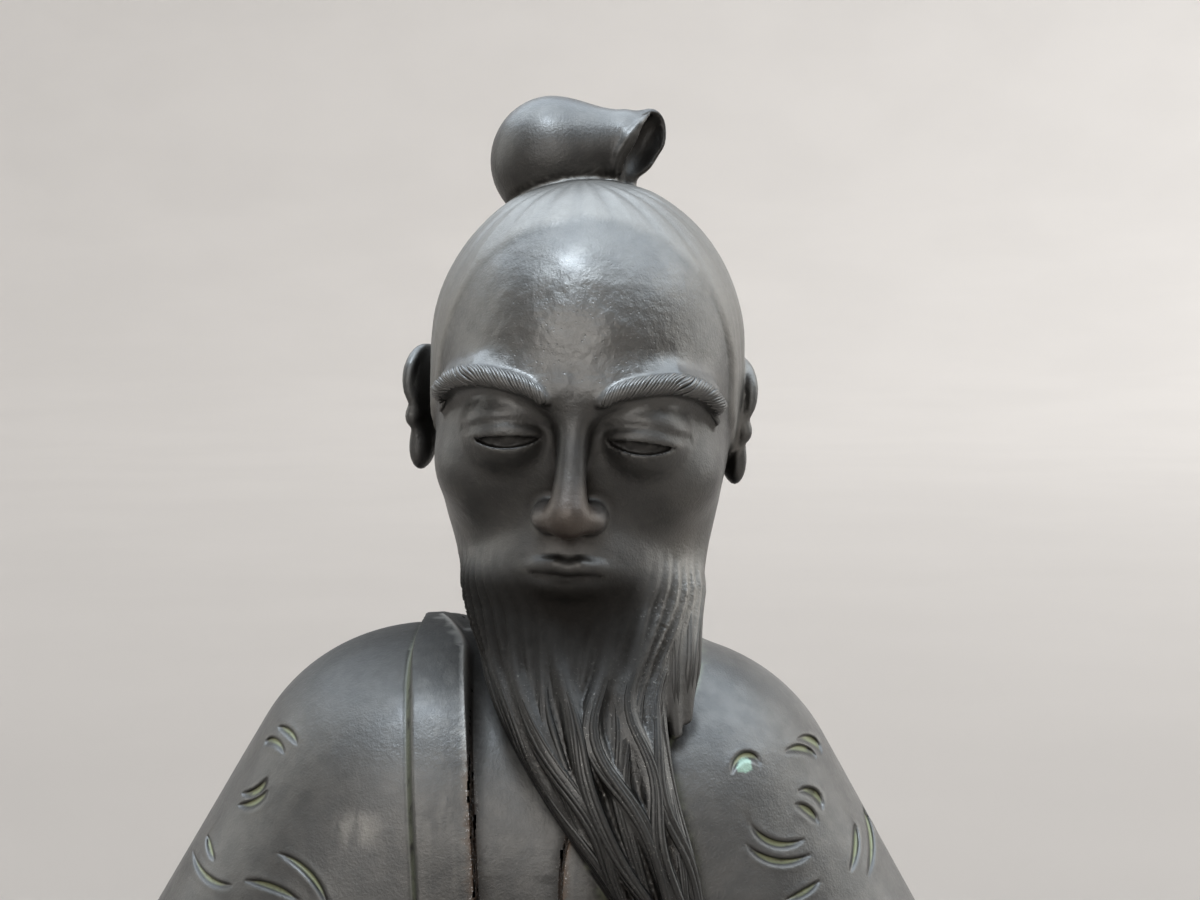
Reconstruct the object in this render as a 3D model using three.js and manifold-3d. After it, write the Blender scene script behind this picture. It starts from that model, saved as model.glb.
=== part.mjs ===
import * as THREE from 'three';
import { mergeVertices } from 'three/addons/utils/BufferGeometryUtils.js';
import Module from 'manifold-3d';

// Cast bust of an old bearded immortal, from the crown of the topknot to a flat cut across the
// upper arms. Millimetres, +Z up, the face looks along -Y, and +X is on the viewer's right.
// The origin is the middle of the flat underside, below the neck.
// The whole casting is one smooth distance field: a function gives the distance from any point
// to the surface, negative inside, and the surface is where it is zero.

// Head: its middle, how it is bowed (x), rolled (y) and turned (z) in degrees.
const HEAD_MIDDLE = [5.0, -3.0, 64.0];
const HEAD_TILT = [9, 2.5, -3.5];
const SKULL = { at: [0, 2.2, 6.2], radii: [16.5, 19.2, 17.3] };
const JAW = { at: [0, -3.2, -7.0], radii: [15.0, 13.6, 16.4] };
const CHIN = { at: [0, -12.0, -18.4], radii: [7.5, 5.6, 5.2] };
const CHEEK = { at: [9.8, -9.8, -5.2], radii: [4.6, 5.2, 4.2] };
const SOCKET = { at: [7.2, -19.2, 0.2], radii: [5.4, 4.0, 3.4] };
const BROW_BONE = { points: [[2, -16.3, 4.4], [10, -14.6, 5.5], [13.6, -10.8, 3.8]], radii: [1.5, 1.2, 0.8] };

// Features of the face, in the head's own frame. One side is given and the other mirrors it.
const EYE = {
  at: [6.9, -13.3, -0.4], ball: 4.2, lid: 4.95, half: 3.55, slant: 0.06, upper: 0.55, lower: 0.75, drop: 0.3,
};
const BRIDGE = {
  points: [[0, -15.8, 4.4], [0, -17.3, 0.6], [0, -19.4, -3.8], [0, -21.2, -7.0]],
  steps: 8,
  ends: [0, 0.35, 0.7, 1],
  radii: [2.0, 1.5, 1.6, 2.0],
};
const NOSE_TIP = { at: [0, -21.0, -7.9], radii: [2.3, 2.2, 2.0] };
const NOSE_WING = { at: [2.3, -18.8, -8.2], radii: [1.7, 2.7, 1.55] };
const NOSTRIL = { at: [1.3, -20.0, -10.0], radii: [0.75, 1.3, 0.9] };
const MUZZLE = { at: [0, -13.6, -14.0], radii: [6.6, 5.2, 4.8] };
const UPPER_LIP = {
  points: [[0, -19.3, -13.5], [1.2, -19.35, -13.2], [3.2, -18.3, -13.6], [5.2, -16.7, -14.2]],
  radii: [0.75, 0.85, 0.75, 0.4],
};
const LOWER_LIP = {
  points: [[0, -18.95, -15.7], [2.2, -18.4, -15.6], [4.8, -16.7, -14.85]],
  radii: [1.05, 0.95, 0.45],
};
const LIP_LINE = {
  points: [[0, -20.3, -14.55], [2.6, -19.4, -14.4], [5.2, -17.1, -14.35]],
  radii: [0.3, 0.3, 0.15],
};
const BROW = {
  points: [
    [2.7, -17.4, 4.1], [5.2, -18.0, 5.3], [8.4, -17.0, 5.9], [11.2, -14.6, 5.4], [13.3, -12.3, 4.1],
    [14.6, -10.6, 2.4], [15.2, -9.6, 0.4],
  ],
  steps: 16,
  ends: [0, 0.2, 0.55, 0.85, 1],
  radii: [0.5, 0.9, 1.0, 0.8, 0.3],
};
const BROW_OUT = [0, -0.25, -0.1];

// Ear, in a frame of its own with x out of the head, y back and z up.
const EAR_AT = [17.3, 3.2, -2.2];
const EAR_TILT = [-10, 4, 27];
const EAR_SHIFT = 0.75;
const EAR_PLATE = { at: [-0.5, 0.3, 0.8], radii: [0.95, 3.5, 5.5] };
const EAR_LOBE = { at: [-0.4, -0.5, -4.6], radii: [0.9, 1.7, 2.2] };
const EAR_HOLLOW = { at: [1.3, -0.5, -0.7], radii: [1.6, 1.7, 2.5] };
const EAR_FLAP = { at: [-0.2, -2.5, -0.9], radii: [0.7, 0.8, 1.1] };
const HELIX = {
  points: [
    [-0.9, -2.0, -0.6], [-0.1, -3.3, 1.8], [0.1, -2.9, 4.4], [0.2, -0.9, 6.2], [0.2, 1.6, 6.1],
    [0.2, 3.4, 4.2], [0.2, 3.9, 1.4], [0.1, 3.2, -1.6], [-0.1, 1.9, -3.8], [-0.3, 0.3, -5.4],
  ],
  steps: 20,
  ends: [0, 0.2, 0.7, 1],
  radii: [0.35, 0.7, 0.7, 0.45],
};
const INNER_RIM = {
  points: [[0.2, 0.2, 4.4], [0.45, 1.6, 2.6], [0.35, 1.9, -0.2], [0, 0.9, -2.8], [-0.3, -0.7, -3.8]],
  steps: 9,
  ends: [0, 0.4, 0.7, 1],
  radii: [0.45, 0.6, 0.6, 0.4],
};

// Hair: its line over the forehead rises to a peak, the nape is a plane, and the combed locks
// meet at the root of the knot.
const HAIR_FRONT = { at: [1, -16, 4], radius: 17.8, peak: 0.5, peakWidth: 4.5 };
const HAIR_NAPE = { at: [0, -3, -3], normal: [0, -0.634, -0.773] };
const HAIR_EDGE = { side: 1.2, crown: 0.8, from: 8, to: 16, less: 0.35 };
const HAIR_RAISE = 0.32;
const HAIR_COMB = { locks: 19, relief: 0.2, sway: 1.4, sways: 3, phase: 0.6 };
const HAIR_ROOT = { at: [-1.5, 3.0], radius: 7.5, width: 2.2, relief: 0.2 };

// The knot folds over to the right and ends in a flared, hollow mouth with a turned rim.
const KNOT = { at: [1.2, 4.0, 90.2], radii: [6.7, 6.2, 7.0] };
const KNOT_STEM = { points: [[2.5, 3.0, 82.0], [4.2, 3.4, 88.6]], radii: [5.2, 4.4] };
const TUFT = { points: [[2.0, 3.0, 91.0], [9.2, 2.4, 92.0]], radii: [5.0, 3.9] };
const FLARE_AT = [10.7, 2.0, 91.3];
const FLARE_TILT = [-30, 0, -50];
const FLARE = { at: [0, 0, 0], radii: [2.7, 2.7, 5.2] };
const FLARE_UNDER = { at: [13.4, 2, 91.4], normal: [0.54, 0, -0.84] };
const FLARE_FLAP = { points: [[8.8, 2.4, 90.5], [8.9, 2.2, 85.5]], radii: [2.0, 1.6] };
const FLARE_HOLLOW = { at: [1.7, -0.3, 0.2], radii: [2.6, 2.0, 4.5] };
const FLARE_RIM = {
  points: [
    [12.2, 1.2, 95.4], [10.9, -0.6, 94.2], [9.6, -1.5, 92.6], [8.6, -1.45, 91.0], [8.1, -1.1, 89.4],
    [7.8, 0.2, 87.0],
  ],
  radii: [0.3, 0.4, 0.4, 0.4, 0.4, 0.35],
};
const FLARE_SLOT = { points: [[10.2, 0.3, 90], [9.5, 0.2, 87.6], [9.3, 0.4, 84.5]], radii: [1.3, 0.9, 0.5] };

// Shoulders under the robe, each a tapered bar from the shoulder to below the cut.
const LEFT_ARM = { points: [[-12.9, 0.5, 18.7], [-27.6, 0, -6]], radii: [20.3, 20.2] };
const RIGHT_ARM = { points: [[13.5, 0.5, 17.3], [28.7, 0, -10]], radii: [20.3, 20.2] };
const CHEST = { at: [0, -0.5, 2], radii: [30, 20.4, 33] };
const NECK = { points: [[3.5, 3.0, 29], [5.0, 2.6, 46], [5.3, 4.6, 58]], radii: [10.0, 9.0, 8.5] };
// At the nape, towards the back, the neck runs more softly into the head.
const NAPE = { soft: 3, from: 3, to: 8 };

// Neckline of the robe: a slit down the chest between two edges, and a ring round the neck. The
// collar outside it narrows towards the back, and fades out over the right shoulder's front.
const SLIT_LEFT = { z: [-4, 9, 25, 33, 40, 46], x: [-5.8, -6.0, -6.8, -7.2, -7.6, -7.0] };
const SLIT_RIGHT = { z: [-4, 9, 19, 28, 36, 46], x: [2.2, 2.5, 3.1, 7.0, 11.2, 13.4] };
const SLIT_BACK = 3;
const RING = { x: 3.4, y: 2.6, z: 38.0, radius: 11.2 };
const COLLAR = { front: 6.3, back: 2.3, raise: 1.0, sink: 0.9, from: -13, to: 1, soft: 0.55 };
const COLLAR_FADE = { x: [5, 9], y: [7, 0] };
const COLLAR_GROOVE = { depth: 0.35, out: 0.1, width: 0.4 };

// Hanging folds across the back, in arcs round a point above the shoulders.
const FOLD = { depth: 0.35, x: 3, z: 52, squash: 1.3, rate: 0.5, behind: [2, 12], outside: [3, 9] };

// Beard: its middle, half width, depth and thickness at each height, the core and the locks on it.
const BEARD = {
  z: [-3.0, 5.0, 12.3, 18.4, 23.6, 28.7, 33.9, 39.0, 44.0, 48.0],
  x: [15.6, 14.8, 12.9, 10.4, 8.0, 5.9, 4.4, 4.4, 4.6, 4.8],
  y: [-23.6, -23.6, -23.3, -22.7, -21.8, -20.2, -17.6, -14.6, -11.6, -9.8],
  half: [2.0, 3.1, 4.1, 5.4, 6.3, 7.3, 8.5, 10.4, 12.0, 13.0],
  thick: [1.9, 2.2, 2.6, 3.1, 3.6, 4.2, 5.0, 5.6, 6.0, 6.0],
};
const CORE = { scale: 0.9, inset: 0.55, fill: 0.75, from: 30, to: 43, top: 48 };
const LOCK = {
  count: 15, steps: 18, top: 48.5, dip: 4.5, end: -2, spread: 200, radius: 1.35, inset: 0.8, lift: 0.3,
};
const LOCK_TAPER = { ends: [0, 0.3, 0.5, 1], shares: [0.3, 1, 1, 0.67] };
const LOCK_WAVES = [[0.05, 0.28, 1.9], [0.04, 0.5, 2.6]];
const LOCK_SWING = { size: 3.6, from: 40, to: 24 };
const LOCK_DIVE = { depth: 3.2, from: 36, to: 49 };
const LOCK_FULL = { half: 7.5, least: 0.35 };
const LOCK_LIFT_ENDS = [48, 38];
const BEARD_BACK = {
  points: [[5, -9, 45], [5.5, -11, 36], [8, -15, 26], [12, -17, 10], [14, -17, -3]],
  radii: [8.0, 7.0, 5.0, 4.6, 4.6],
};
const SIDE_LOCKS = [
  [[16.4, -6.5, 53.0], [16.4, -10.0, 46.5], [15.8, -13.2, 41.5], [15.5, -15.4, 36.5], [15.5, -16.3, 31.6]],
  [[14.4, -9.0, 52.0], [14.5, -12.6, 45.5], [13.9, -15.2, 40.0], [13.8, -16.8, 34.5], [14.4, -17.3, 30.2]],
  [[12.4, -10.5, 49.5], [12.3, -14.2, 42.5], [11.9, -17.0, 37.0], [12.1, -18.8, 31.5], [12.8, -18.9, 28.4]],
];
const SIDE_SHAPE = { steps: 9, ends: [0, 0.4, 0.75, 1], radii: [0.3, 1.5, 1.5, 0.8] };
const SIDE_BACK = { points: [[12.0, -7.5, 47], [12.0, -11, 36]], radii: [4.2, 2.6] };
// Towards the jaw the locks run more softly into the core, and the beard into the face.
const ROOTS = { locks: 1.2, locksFrom: 36, locksTo: 46, face: 3, faceFrom: 38, faceTo: 48 };

// How softly each form runs into the next.
const BLEND = {
  jaw: 7, chin: 5, cheek: 4, socket: 3, brow: 0.7, eye: 0.6, lid: 0.2, nose: 1.3, tip: 1.2, wing: 1.0,
  nostril: 0.4, muzzle: 3.5, lip: 0.6, lipLine: 0.3, ear: 0.9, lobe: 1.5, helix: 0.5, innerRim: 0.4,
  flap: 0.6, hair: 2, knot: 3, flare: 0.8, mouth: 0.4, stem: 1.5, arms: 10, neck: 6, slit: 0.5, ring: 4,
  lock: 0.25, locks: 0.45, core: 2, coreTop: 4, side: 0.9, sideBack: 1.5, beard: 0.4, hairAndRobe: 0.7,
  head: 0.8, topknot: 0.7,
};

// Where each part of the casting can be, so that the rest of it isn't looked up there.
const HEAD_ABOVE = 30;
const KNOT_ABOVE = 80;
const BEARD_BELOW = 58;
const BEARD_BEFORE = -2;
const ROBE_REACH = 4;

// Crescents incised on both sleeves: centre x and z, radius, direction of the middle and sweep.
const CRESCENTS = [
  [-27.6, 26.6, 2.5, 67, 70], [-28.4, 26.2, 1.5, 83, 120], [-32.2, 25.6, 3.6, -54, 66],
  [-33.0, 26.0, 5.2, -58, 50], [-32.6, 18.0, 3.5, -145, 40], [-33.8, 18.5, 5.4, -107, 66],
  [-28.5, 10.1, 7.2, 49, 64], [-30.0, 2.7, 11.3, 78, 34], [22.0, 25.8, 1.5, 100, 170],
  [27.1, 23.8, 3.4, 69, 72], [27.6, 24.8, 3.2, 53, 70], [27.9, 20.7, 2.4, 50, 97],
  [25.6, 17.6, 4.6, 48, 45], [26.5, 22.8, 4.7, -111, 86], [26.6, 22.6, 6.2, -105, 74],
  [28.5, 17.4, 5.7, -11, 46], [30.4, 16.4, 5.8, -2, 60], [24.5, 22.0, 9.5, -69, 26],
];
const CRESCENT = { steps: 6, depth: 0.5, width: 1.1, clear: 0.4, tip: 0.25, turn: 2 };
const BACK_CRESCENT_SIZE = 6;

// The surface is looked up on a grid and then thinned out, most on the plain robe and the back.
const BOX_LOW = [-49, -30, -3];
const BOX_HIGH = [49, 27, 100];
const ROUGH_FLOOR = -2;
const CUT_BLOCK = [300, 300, 60];
const GRID = 0.75;
const BLOCK = 6;
const BLOCK_REACH = 1.6;
const TRIANGLES = 8150;
const CARE = { face: 6, head: 1, collar: 1.6, plain: 0.3 };
const FACE_BOX = { front: -5, half: 17, low: -19, high: 9 };
const BEARD_TIP = { x: 8, y: -20, radius: 14, top: 44 };
const SHORT_FIRST = 1e-4;
const SLIVER = 0.05;
const LESS_FULL = 0.7;
const LEAST_FACING = 0.25;
const FLAT = 1e-4;
const TINY = 1e-12;
const PROBE = 0.3;

const { clamp, degToRad, smoothstep } = THREE.MathUtils;

function smoothMin(a, b, k) {
  const h = clamp(0.5 + (0.5 * (b - a)) / k, 0, 1);
  return b + (a - b) * h - k * h * (1 - h);
}

function smoothMax(a, b, k) {
  return -smoothMin(-a, -b, k);
}

// Smooth step that rises from 0 at low to 1 at high, or falls when low is the larger.
function ramp(low, high, x) {
  return low < high ? smoothstep(x, low, high) : 1 - smoothstep(x, high, low);
}

function ellipsoid(p, { at, radii }) {
  const x = (p[0] - at[0]) / radii[0];
  const y = (p[1] - at[1]) / radii[1];
  const z = (p[2] - at[2]) / radii[2];
  const scaled = Math.hypot(x, y, z);
  const slope = Math.hypot(x / radii[0], y / radii[1], z / radii[2]);
  return (scaled * (scaled - 1)) / Math.max(slope, TINY);
}

// Distance to a bent bar of round section through the points, with a radius at each.
function bar(p, { points, radii }) {
  let nearest = Infinity;
  for (let i = 1; i < points.length; i += 1) {
    const a = points[i - 1];
    const b = points[i];
    const [dx, dy, dz] = [b[0] - a[0], b[1] - a[1], b[2] - a[2]];
    const [px, py, pz] = [p[0] - a[0], p[1] - a[1], p[2] - a[2]];
    const t = clamp((dx * px + dy * py + dz * pz) / (dx * dx + dy * dy + dz * dz), 0, 1);
    const reach = Math.sqrt((px - dx * t) ** 2 + (py - dy * t) ** 2 + (pz - dz * t) ** 2);
    nearest = Math.min(nearest, reach - radii[i - 1] - (radii[i] - radii[i - 1]) * t);
  }
  return nearest;
}

// Distance past a plane.
function beyond(p, { at, normal }) {
  return (p[0] - at[0]) * normal[0] + (p[1] - at[1]) * normal[1] + (p[2] - at[2]) * normal[2];
}

// Value at x of the smooth curve through the knots (xs, ys), level beyond its ends.
function curve(x, xs, ys) {
  const last = xs.length - 1;
  const slope = (i) => {
    if (i === 0) return (ys[1] - ys[0]) / (xs[1] - xs[0]);
    if (i === last) return (ys[last] - ys[last - 1]) / (xs[last] - xs[last - 1]);
    const before = xs[i] - xs[i - 1];
    const after = xs[i + 1] - xs[i];
    const rise = (before / after) * (ys[i + 1] - ys[i]) + (after / before) * (ys[i] - ys[i - 1]);
    return rise / (before + after);
  };
  const at = clamp(x, xs[0], xs[last]);
  let i = 0;
  while (i < last - 1 && xs[i + 1] < at) i += 1;
  const h = xs[i + 1] - xs[i];
  const t = (at - xs[i]) / h;
  const u = 1 - t;
  return (
    u * u * (1 + 2 * t) * ys[i] + t * u * u * h * slope(i)
    + t * t * (3 - 2 * t) * ys[i + 1] - t * t * u * h * slope(i + 1)
  );
}

// Value at x of the straight lines through the knots.
function linear(x, xs, ys) {
  let i = 0;
  while (i < xs.length - 2 && xs[i + 1] < x) i += 1;
  const t = clamp((x - xs[i]) / (xs[i + 1] - xs[i]), 0, 1);
  return ys[i] + (ys[i + 1] - ys[i]) * t;
}

// A bar along the smooth curve through a few points, with its radii given at shares of its length.
function smoothBar({ points, steps, ends, radii }) {
  const knots = points.map((point) => new THREE.Vector3(...point));
  const along = [0];
  for (let i = 1; i < knots.length; i += 1) along.push(along[i - 1] + knots[i].distanceTo(knots[i - 1]));
  const made = { points: [], radii: [] };
  for (let i = 0; i < steps; i += 1) {
    const share = i / (steps - 1);
    const at = share * along[along.length - 1];
    made.points.push([0, 1, 2].map((axis) => curve(at, along, points.map((point) => point[axis]))));
    made.radii.push(linear(share, ends, radii));
  }
  return made;
}

// A frame turned about x, then y, then z: returns the function that takes a point into it.
function frame(at, [x, y, z]) {
  const turn = new THREE.Matrix4().makeRotationFromEuler(
    new THREE.Euler(degToRad(x), degToRad(y), degToRad(z), 'ZYX'),
  );
  const e = turn.elements;
  return (p) => {
    const [dx, dy, dz] = [p[0] - at[0], p[1] - at[1], p[2] - at[2]];
    return [
      e[0] * dx + e[1] * dy + e[2] * dz,
      e[4] * dx + e[5] * dy + e[6] * dz,
      e[8] * dx + e[9] * dy + e[10] * dz,
    ];
  };
}

// Points slid along the slope of a field until they lie on its surface.
function settle(field, points) {
  const e = 0.05;
  const rounds = 6;
  const leastSlope = 0.1;
  return points.map((start) => {
    let p = start;
    for (let i = 0; i < rounds; i += 1) {
      const f = field(p);
      const slope = [0, 1, 2].map((axis) => (field(p.map((v, c) => (c === axis ? v + e : v))) - f) / e);
      const steep = Math.max(slope[0] ** 2 + slope[1] ** 2 + slope[2] ** 2, leastSlope);
      p = p.map((v, c) => v - (f * slope[c]) / steep);
    }
    return p;
  });
}

function mirrored([x, y, z]) {
  return [Math.abs(x), y, z];
}

const intoHead = frame(HEAD_MIDDLE, HEAD_TILT);
const intoEar = frame(EAR_AT, EAR_TILT);
const intoFlare = frame(FLARE_AT, FLARE_TILT);
const helix = smoothBar(HELIX);
const innerRim = smoothBar(INNER_RIM);
const bridge = smoothBar(BRIDGE);

function ear(m) {
  const q = intoEar(m);
  let f = smoothMin(ellipsoid(q, EAR_PLATE), ellipsoid(q, EAR_LOBE), BLEND.lobe);
  f = smoothMin(f, bar(q, helix), BLEND.helix);
  f = smoothMax(f, -ellipsoid(q, EAR_HOLLOW), BLEND.helix);
  f = smoothMin(f, bar(q, innerRim), BLEND.innerRim);
  return smoothMin(f, ellipsoid(q, EAR_FLAP), BLEND.flap);
}

// Eyeball behind two lids that stand a little proud of it and leave an almond slit.
function eye(m) {
  const x = m[0] - EYE.at[0];
  const y = m[1] - EYE.at[1];
  const z = m[2] - EYE.at[2];
  const reach = Math.hypot(x, y, z);
  const bow = 1 - (x / EYE.half) ** 2;
  const level = z + EYE.slant * x;
  const slit = Math.max(level - (EYE.upper * bow - EYE.drop), -EYE.lower * bow - EYE.drop - level);
  const lids = reach - EYE.lid;
  return Math.min(reach - EYE.ball, y < 0 ? smoothMax(lids, -slit, BLEND.lid) : lids);
}

function nose(m) {
  let f = smoothMin(bar(m, bridge), ellipsoid(m, NOSE_TIP), BLEND.tip);
  f = smoothMin(f, ellipsoid(m, NOSE_WING), BLEND.wing);
  return smoothMax(f, -ellipsoid(m, NOSTRIL), BLEND.nostril);
}

// Skull, jaw, chin, cheekbones, eye sockets and brow bone, before the features.
function faceBase(q) {
  const m = mirrored(q);
  let f = smoothMin(ellipsoid(q, SKULL), ellipsoid(q, JAW), BLEND.jaw);
  f = smoothMin(f, ellipsoid(q, CHIN), BLEND.chin);
  f = smoothMin(f, ellipsoid(m, CHEEK), BLEND.cheek);
  f = smoothMax(f, -ellipsoid(m, SOCKET), BLEND.socket);
  return smoothMin(f, bar(m, BROW_BONE), BLEND.socket);
}

const brow = smoothBar(BROW);
brow.points = settle(faceBase, brow.points).map((p) => p.map((v, axis) => v + BROW_OUT[axis]));

// How far the hair stands above the scalp, with broad combed locks that meet at the knot.
function hair(q) {
  const peak = HAIR_FRONT.peak * Math.exp(-Math.abs(q[0]) / HAIR_FRONT.peakWidth);
  const front = HAIR_FRONT.radius + peak - Math.hypot(...q.map((v, axis) => v - HAIR_FRONT.at[axis]));
  const depth = -smoothMax(front, beyond(q, HAIR_NAPE), BLEND.hair);
  const x = q[0] - HAIR_ROOT.at[0];
  const y = q[1] - HAIR_ROOT.at[1];
  const round = Math.atan2(x, y);
  const sway = HAIR_COMB.sway * Math.sin(HAIR_COMB.sways * round);
  const comb = 0.5 + 0.5 * Math.cos(HAIR_COMB.locks * round + sway + HAIR_COMB.phase);
  const gathered = Math.exp(-(((Math.hypot(x, y) - HAIR_ROOT.radius) / HAIR_ROOT.width) ** 2));
  const crown = ramp(HAIR_EDGE.from, HAIR_EDGE.to, q[2]);
  const edge = ramp(0, HAIR_EDGE.side + HAIR_EDGE.crown * crown, depth) * (1 - HAIR_EDGE.less * crown);
  return edge * (HAIR_RAISE + (HAIR_COMB.relief + HAIR_ROOT.relief * gathered) * comb);
}

function head(p) {
  const q = intoHead(p);
  const m = mirrored(q);
  let f = faceBase(q);
  f = smoothMin(f, eye(m), BLEND.eye);
  f = smoothMin(f, nose(m), BLEND.nose);
  f = smoothMin(f, ellipsoid(m, MUZZLE), BLEND.muzzle);
  f = smoothMin(f, Math.min(bar(m, UPPER_LIP), bar(m, LOWER_LIP)), BLEND.lip);
  f = smoothMax(f, -bar(m, LIP_LINE), BLEND.lipLine);
  f -= hair(q);
  f = smoothMin(f, ear(mirrored([q[0] + EAR_SHIFT, q[1], q[2]])), BLEND.ear);
  return smoothMin(f, bar(m, brow), BLEND.brow);
}

function topknot(p) {
  const q = intoFlare(p);
  const flare = smoothMax(ellipsoid(q, FLARE), beyond(p, FLARE_UNDER), BLEND.flare);
  let f = smoothMin(ellipsoid(p, KNOT), bar(p, TUFT), BLEND.knot);
  f = smoothMin(smoothMin(f, flare, BLEND.flare), bar(p, FLARE_FLAP), BLEND.flare);
  f = smoothMin(f, bar(p, FLARE_RIM), BLEND.mouth);
  f = smoothMax(f, -ellipsoid(q, FLARE_HOLLOW), BLEND.mouth);
  f = smoothMax(f, -bar(p, FLARE_SLOT), BLEND.mouth);
  return smoothMin(f, bar(p, KNOT_STEM), BLEND.stem);
}

function body(p) {
  const arms = smoothMin(bar(p, LEFT_ARM), bar(p, RIGHT_ARM), BLEND.arms);
  return smoothMin(smoothMin(arms, ellipsoid(p, CHEST), BLEND.arms), bar(p, NECK), BLEND.neck);
}

// Distance outside the neckline, along the robe.
function neckline([x, y, z]) {
  const left = curve(z, SLIT_LEFT.z, SLIT_LEFT.x) - x;
  const right = x - curve(z, SLIT_RIGHT.z, SLIT_RIGHT.x);
  const slit = smoothMax(smoothMax(left, right, BLEND.slit), y - SLIT_BACK, BLEND.slit);
  const ring = (Math.hypot(x - RING.x, y - RING.y) - RING.radius - (z - RING.z)) * Math.SQRT1_2;
  return smoothMin(slit, ring, BLEND.ring);
}

function robe(p) {
  const base = body(p);
  if (Math.abs(base) > ROBE_REACH) return base;
  const [x, y, z] = p;
  const v = neckline(p);
  const width = COLLAR.front + (COLLAR.back - COLLAR.front) * ramp(COLLAR.from, COLLAR.to, y);
  const shown = 1 - ramp(...COLLAR_FADE.x, x) * ramp(...COLLAR_FADE.y, y);
  const outside = ramp(-COLLAR.soft, COLLAR.soft, v);
  const band = ramp(-COLLAR.soft, COLLAR.soft, width - v) * shown;
  const groove = shown * Math.exp(-(((v - width - COLLAR_GROOVE.out) / COLLAR_GROOVE.width) ** 2));
  const hang = Math.hypot(x - FOLD.x, FOLD.squash * (z - FOLD.z));
  const fold = ramp(...FOLD.behind, y) * ramp(...FOLD.outside, v) * (0.5 + 0.5 * Math.cos(FOLD.rate * hang));
  const edges = COLLAR.sink * (1 - outside) - COLLAR.raise * outside * band;
  return base + edges + COLLAR_GROOVE.depth * groove - FOLD.depth * fold;
}

// One lock of the beard, from the jaw down past the cut.
function beardLock(index) {
  const share = (index + 0.5) / LOCK.count;
  const top = LOCK.top - LOCK.dip * (1 - (2 * share - 1) ** 2);
  const made = { points: [], radii: [] };
  for (let i = 0; i < LOCK.steps; i += 1) {
    const down = i / (LOCK.steps - 1);
    const z = top + (LOCK.end - top) * down;
    const swing = 1 + (LOCK_SWING.size - 1) * ramp(LOCK_SWING.from, LOCK_SWING.to, z);
    const waves = LOCK_WAVES.map(([size, rate, shift]) => size * Math.sin(z * rate + shift * index));
    const round = (share - 0.5) * degToRad(LOCK.spread) + swing * waves[0] + waves[1];
    const half = curve(z, BEARD.z, BEARD.half);
    const thick = curve(z, BEARD.z, BEARD.thick);
    const full = clamp(half / LOCK_FULL.half, LOCK_FULL.least, 1);
    const radius = LOCK.radius * linear(down, LOCK_TAPER.ends, LOCK_TAPER.shares) * full;
    const lift = (index % 2 ? -LOCK.lift : LOCK.lift) * full * ramp(...LOCK_LIFT_ENDS, z);
    const dive = LOCK_DIVE.depth * ramp(LOCK_DIVE.from, LOCK_DIVE.to, z);
    const out = lift - LOCK.inset * radius - dive;
    made.points.push([
      curve(z, BEARD.z, BEARD.x) + (half + out) * Math.sin(round),
      curve(z, BEARD.z, BEARD.y) - (thick + out) * Math.cos(round),
      z,
    ]);
    made.radii.push(radius);
  }
  return made;
}

const beardLocks = Array.from({ length: LOCK.count }, (_, index) => beardLock(index));
const sideLocks = SIDE_LOCKS.map((points) => smoothBar({ points, ...SIDE_SHAPE }));

function beard(p) {
  const z = p[2];
  const half = curve(z, BEARD.z, BEARD.half);
  const thick = curve(z, BEARD.z, BEARD.thick);
  const u = (p[0] - curve(z, BEARD.z, BEARD.x)) / half;
  const v = (p[1] - curve(z, BEARD.z, BEARD.y)) / thick;
  const inset = CORE.inset - CORE.fill * ramp(CORE.from, CORE.to, z);
  let f = (Math.hypot(u, v) - 1) * Math.min(half, thick) * CORE.scale + inset;
  f = smoothMax(f, z - CORE.top, BLEND.coreTop);
  f = smoothMin(f, bar(p, BEARD_BACK), BLEND.core);
  const locks = beardLocks.map((one) => bar(p, one)).reduce((a, b) => smoothMin(a, b, BLEND.lock));
  return smoothMin(f, locks, BLEND.locks + ROOTS.locks * ramp(ROOTS.locksFrom, ROOTS.locksTo, z));
}

function sideLock(p) {
  const locks = sideLocks.map((one) => bar(p, one)).reduce((a, b) => smoothMin(a, b, BLEND.side));
  return smoothMin(locks, bar(p, SIDE_BACK), BLEND.sideBack);
}

function bust(p) {
  let f = robe(p);
  if (p[2] > HEAD_ABOVE) f = smoothMin(f, head(p), BLEND.head + NAPE.soft * ramp(NAPE.from, NAPE.to, p[1]));
  if (p[2] > KNOT_ABOVE) f = smoothMin(f, topknot(p), BLEND.topknot);
  if (p[1] < BEARD_BEFORE && p[2] < BEARD_BELOW) {
    const soft = BLEND.hairAndRobe + ROOTS.face * ramp(ROOTS.faceFrom, ROOTS.faceTo, p[2]);
    f = smoothMin(f, smoothMin(beard(p), sideLock(p), BLEND.beard), soft);
  }
  return Math.max(f, ROUGH_FLOOR - p[2]);
}

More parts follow.
